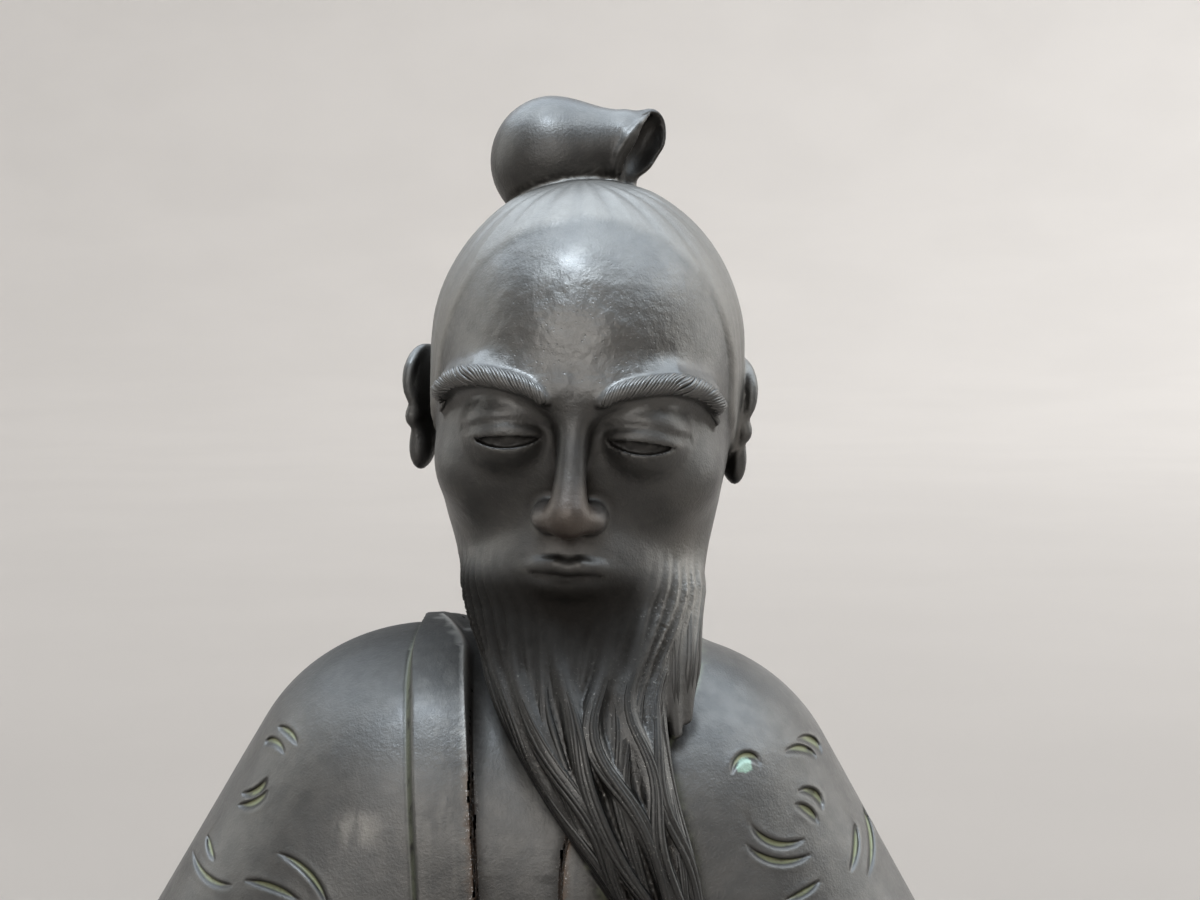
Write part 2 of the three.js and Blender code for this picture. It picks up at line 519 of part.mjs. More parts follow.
// Values of the field at the nodes of the grid. A block far from the surface takes one value.
function sample(field) {
  const size = BOX_LOW.map((low, axis) => Math.ceil((BOX_HIGH[axis] - low) / GRID / BLOCK) * BLOCK + 1);
  const values = new Float32Array(size[0] * size[1] * size[2]);
  const point = (i, j, k) => [BOX_LOW[0] + i * GRID, BOX_LOW[1] + j * GRID, BOX_LOW[2] + k * GRID];
  const far = BLOCK * GRID * BLOCK_REACH;
  for (let bi = 0; bi < size[0]; bi += BLOCK) {
    for (let bj = 0; bj < size[1]; bj += BLOCK) {
      for (let bk = 0; bk < size[2]; bk += BLOCK) {
        const centre = field(point(bi + BLOCK / 2, bj + BLOCK / 2, bk + BLOCK / 2));
        for (let i = bi; i < Math.min(bi + BLOCK, size[0]); i += 1) {
          for (let j = bj; j < Math.min(bj + BLOCK, size[1]); j += 1) {
            for (let k = bk; k < Math.min(bk + BLOCK, size[2]); k += 1) {
              const value = Math.abs(centre) > far ? centre : field(point(i, j, k));
              values[(i * size[1] + j) * size[2] + k] = Math.abs(value) < FLAT ? FLAT : value;
            }
          }
        }
      }
    }
  }
  return { size, values, point };
}

// The six tetrahedra of a grid cell, each a walk along x, y and z in one order from corner 0 to 7.
const WALKS = [[1, 2, 4], [1, 4, 2], [2, 1, 4], [2, 4, 1], [4, 1, 2], [4, 2, 1]];

// Triangles of the zero surface, by tetrahedra, so that the mesh is always closed.
function trace({ size, values, point }) {
  const positions = [];
  const triangles = [];
  const known = new Map();
  const nodeOf = (cell, corner) => {
    const [i, j, k] = [cell[0] + (corner & 1), cell[1] + ((corner >> 1) & 1), cell[2] + (corner >> 2)];
    return (i * size[1] + j) * size[2] + k;
  };
  const place = (node) => {
    const k = node % size[2];
    const j = Math.floor(node / size[2]) % size[1];
    return point(Math.floor(node / size[2] / size[1]), j, k);
  };
  const crossing = (a, b) => {
    const [low, high] = a < b ? [a, b] : [b, a];
    const key = low * values.length + high;
    if (!known.has(key)) {
      const t = values[low] / (values[low] - values[high]);
      const from = place(low);
      const to = place(high);
      known.set(key, positions.length);
      positions.push(from.map((v, c) => v + (to[c] - v) * t));
    }
    return known.get(key);
  };
  const add = (a, b, c, flip) => triangles.push(flip ? [a, c, b] : [a, b, c]);
  for (let i = 0; i < size[0] - 1; i += 1) {
    for (let j = 0; j < size[1] - 1; j += 1) {
      for (let k = 0; k < size[2] - 1; k += 1) {
        const nodes = [0, 1, 2, 3, 4, 5, 6, 7].map((corner) => nodeOf([i, j, k], corner));
        const inner = nodes.filter((node) => values[node] < 0).length;
        if (inner === 0 || inner === 8) continue;
        for (const [first, second, third] of WALKS) {
          const tet = [nodes[0], nodes[first], nodes[first + second], nodes[first + second + third]];
          const odd = (second - first) * (third - second) * (third - first) < 0;
          const inside = tet.filter((node) => values[node] < 0);
          const outside = tet.filter((node) => values[node] >= 0);
          const order = [...inside, ...outside].map((node) => tet.indexOf(node));
          let swaps = 0;
          order.forEach((a, x) => order.slice(x + 1).forEach((b) => { if (a > b) swaps += 1; }));
          const flip = (swaps % 2 === 1) !== odd;
          if (inside.length === 1) {
            add(...outside.map((node) => crossing(inside[0], node)), flip);
          } else if (inside.length === 3) {
            add(...inside.map((node) => crossing(node, outside[0])), flip);
          } else if (inside.length === 2) {
            const [a, b] = inside;
            const [c, d] = outside;
            const ring = [crossing(a, c), crossing(a, d), crossing(b, d), crossing(b, c)];
            add(ring[0], ring[1], ring[2], flip);
            add(ring[0], ring[2], ring[3], flip);
          }
        }
      }
    }
  }
  return { positions, triangles };
}

const wasm = await Module();
wasm.setup();

function solidOf({ positions, triangles }) {
  const vertProperties = new Float32Array(positions.flat());
  const triVerts = new Uint32Array(triangles.flat());
  return new wasm.Manifold(new wasm.Mesh({ numProp: 3, vertProperties, triVerts }));
}

function meshOf(solid) {
  const { vertProperties, triVerts } = solid.getMesh();
  const positions = [];
  for (let i = 0; i < vertProperties.length; i += 3) {
    const [x, y, z] = vertProperties.subarray(i, i + 3);
    positions.push([x, y, Math.abs(z) < FLAT ? 0 : z]);
  }
  const triangles = [];
  for (let i = 0; i < triVerts.length; i += 3) triangles.push([...triVerts.subarray(i, i + 3)]);
  return { positions, triangles };
}

// Everything below the flat underside is cut away.
function cutFlat(mesh) {
  const block = new THREE.BoxGeometry(...CUT_BLOCK).translate(0, 0, -CUT_BLOCK[2] / 2);
  block.deleteAttribute('normal');
  block.deleteAttribute('uv');
  const closed = mergeVertices(block);
  const position = closed.attributes.position;
  const corners = [];
  for (let i = 0; i < position.count; i += 1) {
    corners.push([position.getX(i), position.getY(i), position.getZ(i)]);
  }
  const below = solidOf({ positions: corners, triangles: [...closed.index.array] });
  return meshOf(solidOf(mesh).subtract(below));
}

// Depth of the robe below (x, z), in front (side -1) or behind (side 1).
function drape(x, z, side) {
  const close = 0.005;
  let inside = 0;
  let outside = side * (BOX_HIGH[1] - BOX_LOW[1]);
  while (Math.abs(outside - inside) > close) {
    const halfway = (inside + outside) / 2;
    if (robe([x, halfway, z]) > 0) outside = halfway;
    else inside = halfway;
  }
  return new THREE.Vector3(x, inside, z);
}

// The cutter for one crescent: a bar of three-cornered section bent along the robe, edge down.
function crescentCutter([x, z, radius, middle, sweep], side) {
  const positions = [];
  const triangles = [[0, 2, 1]];
  for (let i = 0; i < CRESCENT.steps; i += 1) {
    const share = (2 * i) / (CRESCENT.steps - 1) - 1;
    const at = (offset) => {
      const angle = degToRad(middle + (sweep / 2) * share + offset);
      return drape(x + radius * Math.cos(angle), z + radius * Math.sin(angle), side);
    };
    const point = at(0);
    const along = at(CRESCENT.turn).sub(at(-CRESCENT.turn)).normalize();
    const normal = new THREE.Vector3(
      drape(point.x + PROBE, point.z, side).y - drape(point.x - PROBE, point.z, side).y,
      -2 * PROBE,
      drape(point.x, point.z + PROBE, side).y - drape(point.x, point.z - PROBE, side).y,
    ).normalize().multiplyScalar(-side);
    const across = new THREE.Vector3().crossVectors(normal, along).normalize();
    const taper = CRESCENT.tip + (1 - CRESCENT.tip) * Math.sqrt(1 - share * share);
    const half = (CRESCENT.width / 2) * taper * (1 + CRESCENT.clear / CRESCENT.depth);
    const top = point.clone().addScaledVector(normal, CRESCENT.clear * taper);
    const section = [
      top.clone().addScaledVector(across, half),
      top.clone().addScaledVector(across, -half),
      point.clone().addScaledVector(normal, -CRESCENT.depth * taper),
    ];
    section.forEach((corner) => positions.push(corner.toArray()));
    if (i === 0) continue;
    const [a, b] = [3 * (i - 1), 3 * i];
    for (let corner = 0; corner < 3; corner += 1) {
      const next = (corner + 1) % 3;
      triangles.push([a + corner, a + next, b + next], [a + corner, b + next, b + corner]);
    }
  }
  const end = positions.length - 3;
  triangles.push([end, end + 1, end + 2]);
  return solidOf({ positions, triangles });
}

function incise(mesh) {
  const cutters = [
    ...CRESCENTS.map((one) => crescentCutter(one, -1)),
    ...CRESCENTS.filter((one) => one[2] > BACK_CRESCENT_SIZE).map((one) => crescentCutter(one, 1)),
  ];
  return meshOf(cutters.reduce((solid, cutter) => solid.subtract(cutter), solidOf(mesh)));
}

// How closely the facets follow the form at a point: most on the face, least on the plain robe.
function care(p) {
  const q = intoHead(p);
  const onFace = q[1] < FACE_BOX.front && Math.abs(q[0]) < FACE_BOX.half;
  if (onFace && q[2] > FACE_BOX.low && q[2] < FACE_BOX.high) return CARE.face;
  const fromBeard = Math.hypot(p[0] - BEARD_TIP.x, p[1] - BEARD_TIP.y);
  if (p[2] > BEARD_TIP.top || fromBeard < BEARD_TIP.radius) return CARE.head;
  const outside = neckline(p);
  return outside > -1 && outside < COLLAR.front + 1 ? CARE.collar : CARE.plain;
}

function faceNormal(a, b, c) {
  const [ux, uy, uz] = [b[0] - a[0], b[1] - a[1], b[2] - a[2]];
  const [vx, vy, vz] = [c[0] - a[0], c[1] - a[1], c[2] - a[2]];
  return [uy * vz - uz * vy, uz * vx - ux * vz, ux * vy - uy * vx];
}

function gap(a, b) {
  return (a[0] - b[0]) ** 2 + (a[1] - b[1]) ** 2 + (a[2] - b[2]) ** 2;
}

// Sum of squared distances from p to the planes gathered in the quadric, which holds the upper
// half of a symmetric 4 by 4 matrix.
function planeError(s, [x, y, z]) {
  return (
    s[0] * x * x + 2 * s[1] * x * y + 2 * s[2] * x * z + 2 * s[3] * x
    + s[4] * y * y + 2 * s[5] * y * z + 2 * s[6] * y + s[7] * z * z + 2 * s[8] * z + s[9]
  );
}

// The point with the least error, where the planes settle one.
function bestPoint(s) {
  const matrix = new THREE.Matrix3().set(s[0], s[1], s[2], s[1], s[4], s[5], s[2], s[5], s[7]);
  const size = (s[0] + s[4] + s[7]) / 3;
  if (Math.abs(matrix.determinant()) < FLAT * size ** 3) return null;
  return new THREE.Vector3(-s[3], -s[6], -s[8]).applyMatrix3(matrix.invert()).toArray();
}

// Thins the mesh to a number of triangles by closing up the edges that change its form least.
function thin({ positions, triangles }, count) {
  const points = positions.map((p) => [...p]);
  const faces = triangles.map((t) => [...t]);
  const around = points.map(() => new Set());
  const planes = points.map(() => new Float64Array(10));
  faces.forEach((face, index) => {
    const [a, b, c] = face.map((v) => points[v]);
    const normal = faceNormal(a, b, c);
    const length = Math.hypot(...normal);
    face.forEach((v) => around[v].add(index));
    if (length < TINY) return;
    const [x, y, z] = normal.map((v) => v / length);
    const d = -(x * a[0] + y * a[1] + z * a[2]);
    const weight = (length / 2) * care(a);
    const plane = [x * x, x * y, x * z, x * d, y * y, y * z, y * d, z * z, z * d, d * d];
    face.forEach((v) => plane.forEach((value, i) => { planes[v][i] += value * weight; }));
  });

  const version = new Uint32Array(points.length);
  const neighbours = (v) => new Set([...around[v]].flatMap((f) => faces[f]).filter((w) => w !== v));

  const plan = (a, b) => {
    const flatA = points[a][2] === 0;
    const flatB = points[b][2] === 0;
    if (flatA !== flatB) return null;
    const sum = planes[a].map((v, i) => v + planes[b][i]);
    const half = points[a].map((v, i) => (v + points[b][i]) / 2);
    const tries = [half, points[a], points[b]];
    const best = bestPoint(sum);
    const reach = gap(points[a], points[b]);
    if (best && gap(best, half) < 2 * reach) tries.unshift(best);
    if (flatA) tries.forEach((p, i) => { tries[i] = [p[0], p[1], 0]; });
    const errors = tries.map((p) => planeError(sum, p));
    const pick = errors.indexOf(Math.min(...errors));
    const cost = Math.max(errors[pick], 0) + SHORT_FIRST * reach * reach;
    return { a, b, to: tries[pick], cost, stamp: version[a] + version[b] };
  };

  const heap = [];
  const lift = (item) => {
    let at = heap.push(item) - 1;
    while (at > 0) {
      const up = (at - 1) >> 1;
      if (heap[up].cost <= item.cost) break;
      heap[at] = heap[up];
      at = up;
    }
    heap[at] = item;
  };
  const takeCheapest = () => {
    const top = heap[0];
    const item = heap.pop();
    if (heap.length === 0) return top;
    let at = 0;
    for (;;) {
      let down = 2 * at + 1;
      if (down >= heap.length) break;
      if (down + 1 < heap.length && heap[down + 1].cost < heap[down].cost) down += 1;
      if (heap[down].cost >= item.cost) break;
      heap[at] = heap[down];
      at = down;
    }
    heap[at] = item;
    return top;
  };
  const offer = (a, b) => {
    const one = plan(a, b);
    if (one) lift(one);
  };

  // How far a face is from a sliver: 0 is flat, about 0.29 is equilateral.
  const fullness = (normal, [a, b, c]) => Math.hypot(...normal) / (gap(a, b) + gap(b, c) + gap(c, a) + TINY);

  // A face that keeps its direction and doesn't turn into a sliver when its corner moves.
  const keeps = (face, from, to) => {
    const before = faces[face].map((v) => points[v]);
    const after = faces[face].map((v) => (from.includes(v) ? to : points[v]));
    const [m, n] = [faceNormal(...before), faceNormal(...after)];
    const facing = (m[0] * n[0] + m[1] * n[1] + m[2] * n[2]) / (Math.hypot(...m) * Math.hypot(...n));
    return facing > LEAST_FACING && fullness(n, after) > Math.min(SLIVER, LESS_FULL * fullness(m, before));
  };

  const offerAll = () => faces.filter(Boolean).forEach(([a, b, c]) => {
    [[a, b], [b, c], [c, a]].forEach(([v, w]) => { if (v < w) offer(v, w); });
  });
  let left = faces.length;
  let leftBefore = Infinity;
  while (left > count) {
    if (heap.length === 0) {
      if (left === leftBefore) throw new Error('the mesh cannot be thinned any further');
      leftBefore = left;
      offerAll();
    }
    const { a, b, to, stamp } = takeCheapest();
    if (version[a] + version[b] !== stamp || around[a].size === 0 || around[b].size === 0) continue;
    const near = neighbours(a);
    const shared = [...neighbours(b)].filter((v) => near.has(v));
    if (shared.length !== 2) continue;
    const gone = [...around[a]].filter((f) => around[b].has(f));
    const moved = [...around[a], ...around[b]].filter((f) => !gone.includes(f));
    if (!moved.every((f) => keeps(f, [a, b], to))) continue;
    gone.forEach((f) => {
      faces[f].forEach((v) => around[v].delete(f));
      faces[f] = null;
    });
    around[b].forEach((f) => {
      faces[f] = faces[f].map((v) => (v === b ? a : v));
      around[a].add(f);
    });
    around[b].clear();
    points[a] = to;
    planes[b].forEach((value, i) => { planes[a][i] += value; });
    version[a] += 1;
    version[b] += 1;
    left -= 2;
    neighbours(a).forEach((v) => offer(a, v));
  }

  const index = new Map();
  faces.filter(Boolean).flat().forEach((v) => { if (!index.has(v)) index.set(v, index.size); });
  return {
    positions: [...index.keys()].map((v) => points[v]),
    triangles: faces.filter(Boolean).map((face) => face.map((v) => index.get(v))),
  };
}

const surface = incise(thin(cutFlat(trace(sample(bust))), TRIANGLES));
const geometry = new THREE.BufferGeometry();
geometry.setAttribute('position', new THREE.Float32BufferAttribute(surface.positions.flat(), 3));
geometry.setIndex(surface.triangles.flat());
geometry.computeVertexNormals();

const bronze = new THREE.MeshStandardMaterial({ color: 0x55514d, roughness: 0.45, metalness: 0.85 });
bronze.name = 'bronze';
const casting = new THREE.Mesh(geometry, bronze);
casting.name = 'bust';

const figure = new THREE.Group();
figure.name = 'immortal_bust';
figure.add(casting);

export default figure;
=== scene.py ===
import math
from concurrent.futures import ThreadPoolExecutor

import bmesh
import bpy
import numpy as np
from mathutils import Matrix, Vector


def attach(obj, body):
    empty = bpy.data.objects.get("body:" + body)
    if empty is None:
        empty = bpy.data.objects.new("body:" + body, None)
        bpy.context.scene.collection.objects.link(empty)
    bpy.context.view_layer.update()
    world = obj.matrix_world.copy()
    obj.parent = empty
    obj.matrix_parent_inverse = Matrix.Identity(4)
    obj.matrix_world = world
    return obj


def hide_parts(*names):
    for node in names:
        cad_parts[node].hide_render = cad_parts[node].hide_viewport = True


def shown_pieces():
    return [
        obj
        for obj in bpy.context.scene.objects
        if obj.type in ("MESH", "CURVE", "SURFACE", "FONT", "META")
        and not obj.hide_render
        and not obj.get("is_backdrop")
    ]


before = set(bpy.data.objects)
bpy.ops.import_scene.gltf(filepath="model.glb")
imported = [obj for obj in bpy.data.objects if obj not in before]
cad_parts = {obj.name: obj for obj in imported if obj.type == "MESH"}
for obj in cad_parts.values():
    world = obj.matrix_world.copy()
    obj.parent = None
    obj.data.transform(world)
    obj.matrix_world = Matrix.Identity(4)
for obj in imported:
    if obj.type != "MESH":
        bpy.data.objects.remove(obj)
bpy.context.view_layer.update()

bl_info = {
    "name": "Immortal Bust",
    "version": (1, 0, 0),
    "blender": (4, 5, 0),
    "location": "3D View > Sidebar > Bust",
    "description": "Cast bronze bust of a bearded immortal, with its patina, hair and stage",
    "category": "Object",
}

MM = 0.001

# The form, in millimetres: the same sizes as the solid, and finer carving

HEAD_MIDDLE = (5.0, -3.0, 64.0)
HEAD_TILT = (9, 2.5, -3.5)
SKULL = ((0, 2.2, 6.2), (16.5, 19.2, 17.3))
JAW = ((0, -3.2, -7.0), (15.0, 13.6, 16.4))
CHIN = ((0, -12.0, -18.4), (7.5, 5.6, 5.2))
CHEEK = ((9.8, -9.8, -5.2), (4.6, 5.2, 4.2))
SOCKET = ((7.2, -19.2, 0.2), (5.4, 4.0, 3.4))
BROW_BONE = ([(2, -16.3, 4.4), (10, -14.6, 5.5), (13.6, -10.8, 3.8)], [1.5, 1.2, 0.8])
EYE = {
    "at": (6.9, -13.3, -0.4), "ball": 4.2, "lid": 4.95, "half": 3.55, "slant": 0.06, "upper": 0.55,
    "lower": 0.75, "drop": 0.3,
}
EYE_CREASE = {"depth": 0.28, "rise": 1.75, "half": 5.2, "width": 0.5}
BRIDGE = [(0, -15.8, 4.4), (0, -17.3, 0.6), (0, -19.4, -3.8), (0, -21.2, -7.0)]
BRIDGE_RADII = ([0, 0.35, 0.7, 1], [2.0, 1.5, 1.6, 2.0])
NOSE_TIP = ((0, -21.0, -7.9), (2.3, 2.2, 2.0))
NOSE_WING = ((2.3, -18.8, -8.2), (1.7, 2.7, 1.55))
NOSTRIL = ((1.3, -20.0, -10.0), (0.75, 1.3, 0.9))
MUZZLE = ((0, -13.6, -14.0), (6.6, 5.2, 4.8))
UPPER_LIP = (
    [(0, -19.3, -13.5), (1.2, -19.35, -13.2), (3.2, -18.3, -13.6), (5.2, -16.7, -14.2)],
    [0.75, 0.85, 0.75, 0.4],
)
LOWER_LIP = ([(0, -18.95, -15.7), (2.2, -18.4, -15.6), (4.8, -16.7, -14.85)], [1.05, 0.95, 0.45])
LIP_LINE = ([(0, -20.3, -14.55), (2.6, -19.4, -14.4), (5.2, -17.1, -14.35)], [0.3, 0.3, 0.15])
LIP_HOLLOW = ([(0, -20.4, -10.9), (0, -20.6, -12.4)], [0.5, 0.6])
BROW = [
    (2.7, -17.4, 4.1), (5.2, -18.0, 5.3), (8.4, -17.0, 5.9), (11.2, -14.6, 5.4), (13.3, -12.3, 4.1),
    (14.6, -10.6, 2.4), (15.2, -9.6, 0.4),
]
BROW_RADII = ([0, 0.2, 0.55, 0.85, 1], [0.5, 0.9, 1.0, 0.8, 0.3])
BROW_OUT = (0, -0.25, -0.1)

EAR_AT = (17.3, 3.2, -2.2)
EAR_TILT = (-10, 4, 27)
EAR_SHIFT = 0.75
EAR_PLATE = ((-0.5, 0.3, 0.8), (0.95, 3.5, 5.5))
EAR_LOBE = ((-0.4, -0.5, -4.6), (0.9, 1.7, 2.2))
EAR_HOLLOW = ((1.3, -0.5, -0.7), (1.6, 1.7, 2.5))
EAR_FLAP = ((-0.2, -2.5, -0.9), (0.7, 0.8, 1.1))
HELIX = [
    (-0.9, -2.0, -0.6), (-0.1, -3.3, 1.8), (0.1, -2.9, 4.4), (0.2, -0.9, 6.2), (0.2, 1.6, 6.1),
    (0.2, 3.4, 4.2), (0.2, 3.9, 1.4), (0.1, 3.2, -1.6), (-0.1, 1.9, -3.8), (-0.3, 0.3, -5.4),
]
HELIX_RADII = ([0, 0.2, 0.7, 1], [0.35, 0.7, 0.7, 0.45])
INNER_RIM = [(0.2, 0.2, 4.4), (0.45, 1.6, 2.6), (0.35, 1.9, -0.2), (0, 0.9, -2.8), (-0.3, -0.7, -3.8)]
INNER_RIM_RADII = ([0, 0.4, 0.7, 1], [0.45, 0.6, 0.6, 0.4])

HAIR_FRONT = {"at": (1, -16, 4), "radius": 17.8, "peak": 0.5, "peak_width": 4.5}
HAIR_NAPE = {"y": -3.0, "z": -3.0, "lean": 0.82, "scale": 1.293}
HAIR_EDGE = {"side": 1.2, "crown": 0.8, "from": 8, "to": 16, "less": 0.35}
HAIR_RAISE = 0.32
HAIR_COMB = {"locks": 19, "relief": 0.14, "sway": 1.4, "sways": 3, "phase": 0.6}
HAIR_FINE = {"strands": 57, "relief": 0.08, "sway": 2.2, "sways": 4, "rise": 0.5, "rate": 0.5, "far": (4, 9)}
HAIR_ROOT = {"at": (-1.5, 3.0), "radius": 7.5, "width": 2.2, "relief": 0.2}
KNOT = ((1.2, 4.0, 90.2), (6.7, 6.2, 7.0))
TUFT = ([(2.0, 3.0, 91.0), (9.2, 2.4, 92.0)], [5.0, 3.9])
FLARE_AT = (10.7, 2.0, 91.3)
FLARE_TILT = (-30, 0, -50)
FLARE = ((0, 0, 0), (2.7, 2.7, 5.2))
FLARE_UNDER = ((13.4, 2, 91.4), (0.54, 0, -0.84))
FLARE_FLAP = ([(8.8, 2.4, 90.5), (8.9, 2.2, 85.5)], [2.0, 1.6])
FLARE_HOLLOW = ((1.7, -0.3, 0.2), (2.6, 2.0, 4.5))
FLARE_RIM = (
    [
        (12.2, 1.2, 95.4), (10.9, -0.6, 94.2), (9.6, -1.5, 92.6), (8.6, -1.45, 91), (8.1, -1.1, 89.4),
        (7.8, 0.2, 87),
    ],
    [0.3, 0.4, 0.4, 0.4, 0.4, 0.35],
)
FLARE_SLOT = ([(10.2, 0.3, 90.0), (9.5, 0.2, 87.6), (9.3, 0.4, 84.5)], [1.3, 0.9, 0.5])
KNOT_STEM = ([(2.5, 3.0, 82.0), (4.2, 3.4, 88.6)], [5.2, 4.4])

LEFT_ARM = ([(-12.9, 0.5, 18.7), (-27.6, 0, -6)], [20.3, 20.2])
RIGHT_ARM = ([(13.5, 0.5, 17.3), (28.7, 0, -10)], [20.3, 20.2])
CHEST = ((0, -0.5, 2), (30, 20.4, 33))
NECK = ([(3.5, 3.0, 29), (5.0, 2.6, 46), (5.3, 4.6, 58)], [10.0, 9.0, 8.5])
NAPE = {"soft": 3, "from": 3, "to": 8}
SLIT_LEFT = ([-4, 9, 25, 33, 40, 46], [-5.8, -6.0, -6.8, -7.2, -7.6, -7.0])
SLIT_RIGHT = ([-4, 9, 19, 28, 36, 46], [2.2, 2.5, 3.1, 7.0, 11.2, 13.4])
SLIT_BACK = 3
RING = {"x": 3.4, "y": 2.6, "z": 38.0, "radius": 11.2}
COLLAR = {"front": 6.3, "back": 2.3, "from": -13, "to": 1, "raise": 1.0, "sink": 0.9}
COLLAR_FADE = {"x": (5, 9), "y": (7, 0)}
COLLAR_GROOVE = {"depth": 0.22, "out": 0.1, "width": 0.4}
EDGE_SOFT = {"low": 0.25, "high": 0.5, "from": 26, "to": 36}
FOLD = {"depth": 0.35, "x": 3, "z": 52, "squash": 1.3, "rate": 0.5, "behind": (2, 12), "outside": (3, 9)}

BEARD_Z = [-3.0, 5.0, 12.3, 18.4, 23.6, 28.7, 33.9, 39.0, 44.0, 48.0]
BEARD_X = [15.6, 14.8, 12.9, 10.4, 8.0, 5.9, 4.4, 4.4, 4.6, 4.8]
BEARD_Y = [-23.6, -23.6, -23.3, -22.7, -21.8, -20.2, -17.6, -14.6, -11.6, -9.8]
BEARD_HALF = [2.0, 3.1, 4.1, 5.4, 6.3, 7.3, 8.5, 10.4, 12.0, 13.0]
BEARD_THICK = [1.9, 2.2, 2.6, 3.1, 3.6, 4.2, 5.0, 5.6, 6.0, 6.0]
CORE = {"scale": 0.9, "inset": 0.55, "fill": 0.75, "from": 30, "to": 43, "top": 48}
CORE_RIPPLE = {"depth": 0.12, "count": 40, "sway": 2, "rate": 0.25, "from": 28, "to": 36}
LOCK = {
    "count": 15, "steps": 32, "top": 48.5, "dip": 4.5, "end": -2, "spread": 200, "radius": 1.35, "inset": 0.8,
}
LOCK_TAPER = ([0, 0.3, 0.5, 1], [0.3, 1, 1, 0.67])
LOCK_SWING = {"size": 0.05, "more": 0.13, "rate": 0.28, "step": 1.9, "from": 24, "to": 40}
LOCK_TREMOR = {"size": 0.04, "rate": 0.5, "step": 2.6}
LOCK_DIVE = {"depth": 3.2, "from": 36, "to": 49}
LOCK_LIFT = {"size": 0.3, "least": 0.3, "from": 38, "to": 48}
LOCK_FULL = {"half": 7.5, "least": 0.35}
BEARD_BACK = (
    [(5, -9, 45), (5.5, -11, 36), (8, -15, 26), (12, -17, 10), (14, -17, -3)],
    [8.0, 7.0, 5.0, 4.6, 4.6],
)
SIDE_LOCKS = [
    [(16.4, -6.5, 53.0), (16.4, -10.0, 46.5), (15.8, -13.2, 41.5), (15.5, -15.4, 36.5), (15.5, -16.3, 31.6)],
    [(14.4, -9.0, 52.0), (14.5, -12.6, 45.5), (13.9, -15.2, 40.0), (13.8, -16.8, 34.5), (14.4, -17.3, 30.2)],
    [(12.4, -10.5, 49.5), (12.3, -14.2, 42.5), (11.9, -17.0, 37.0), (12.1, -18.8, 31.5), (12.8, -18.9, 28.4)],
]
SIDE_RADII = ([0, 0.4, 0.75, 1], [0.3, 1.5, 1.5, 0.8])
SIDE_BACK = ([(12.0, -7.5, 47), (12.0, -11, 36)], [4.2, 2.6])

CRESCENTS = [
    (-27.6, 26.6, 2.5, 67, 70), (-28.4, 26.2, 1.5, 83, 120), (-32.2, 25.6, 3.6, -54, 66),
    (-33.0, 26.0, 5.2, -58, 50), (-32.6, 18.0, 3.5, -145, 40), (-33.8, 18.5, 5.4, -107, 66),
    (-28.5, 10.1, 7.2, 49, 64), (-30.0, 2.7, 11.3, 78, 34), (22.0, 25.8, 1.5, 100, 170),
    (27.1, 23.8, 3.4, 69, 72), (27.6, 24.8, 3.2, 53, 70), (27.9, 20.7, 2.4, 50, 97),
    (25.6, 17.6, 4.6, 48, 45), (26.5, 22.8, 4.7, -111, 86), (26.6, 22.6, 6.2, -105, 74),
    (28.5, 17.4, 5.7, -11, 46), (30.4, 16.4, 5.8, -2, 60), (24.5, 22.0, 9.5, -69, 26),
]
CRESCENT = {
    "depth": 0.45, "width": 0.12, "more": 0.24, "fade": 0.75, "lip": 0.07, "lip_out": 0.65, "lip_width": 0.4,
    "clear": 2,
}
BACK_CRESCENT_SIZE = 6

# How softly each form runs into the next, how much more so at the beard's roots, and the curves' steps

BLEND = {
    "jaw": 7, "chin": 5, "cheek": 4, "socket": 3, "brow_bone": 3, "eye": 1.1, "lid": 0.2, "nose": 1.3,
    "tip": 1.2, "wing": 1.0, "nostril": 0.4, "muzzle": 3.5, "lip": 0.6, "lip_line": 0.3, "lip_hollow": 0.6,
    "ear": 0.9, "lobe": 1.5, "helix": 0.5, "ear_hollow": 0.5, "inner_rim": 0.4, "flap": 0.6, "brow": 0.7,
    "hair": 2, "knot": 3, "under": 0.6, "flare": 0.8, "flare_flap": 0.6, "mouth": 0.4, "stem": 1.5,
    "arms": 10, "neck": 6, "slit": 0.5, "ring": 4, "core_top": 4, "core": 2, "lock": 0.25, "locks": 0.45,
    "side": 0.9, "side_back": 1.5, "beard": 0.4, "hair_and_robe": 0.7, "head": 0.8, "topknot": 0.7,
    "cut": 0.02,
}
ROOTS = {"locks": 1.2, "locks_from": 36, "locks_to": 46, "face": 3, "face_from": 38, "face_to": 48}
CURVE_STEPS = {"helix": 36, "inner_rim": 16, "bridge": 20, "side_lock": 36, "brow": 28}

# Where each part of the casting can be, so that the rest of it isn't looked up there

HEAD_ABOVE = 30
KNOT_ABOVE = 80
BEARD_BELOW = 58
BEARD_BEFORE = -2
ROBE_REACH = 4
BOX_LOW = (-49, -28, -1)
BOX_HIGH = (49, 26, 99)

# Where the carving is refined, and where the marks of the patina lie

ROBE_SKIN = 1.6
RIM = {"height": 0.6, "flat": 0.3, "wide": 0.6, "facing": -0.4}
FINE = {
    "cut": 0.02, "lip": 0.05, "inside": -1.7, "outside": 0.9, "groove": 0.8, "before": -8, "below": 38,
    "above": 0.05, "rounds": 2,
}
HOLLOWS = {"fine_hollow": 0.45, "deep_hollow": 1.6}
RIDGE_DEPTH = 0.5
LAPEL_LOW = (24, 32)
LAPEL_HIGH = (22, 32)
LAPEL_FADE = 0.5
# The lapel's brown edge, its chips and its upper rim, where each lies and how wide; the rim is a painted
# highlight
EDGES = {"edge": (0.12, 0.3), "chips": (0.1, 0.3), "rim": (0.35, 0.25)}
EDGE_LEAST = 0.15
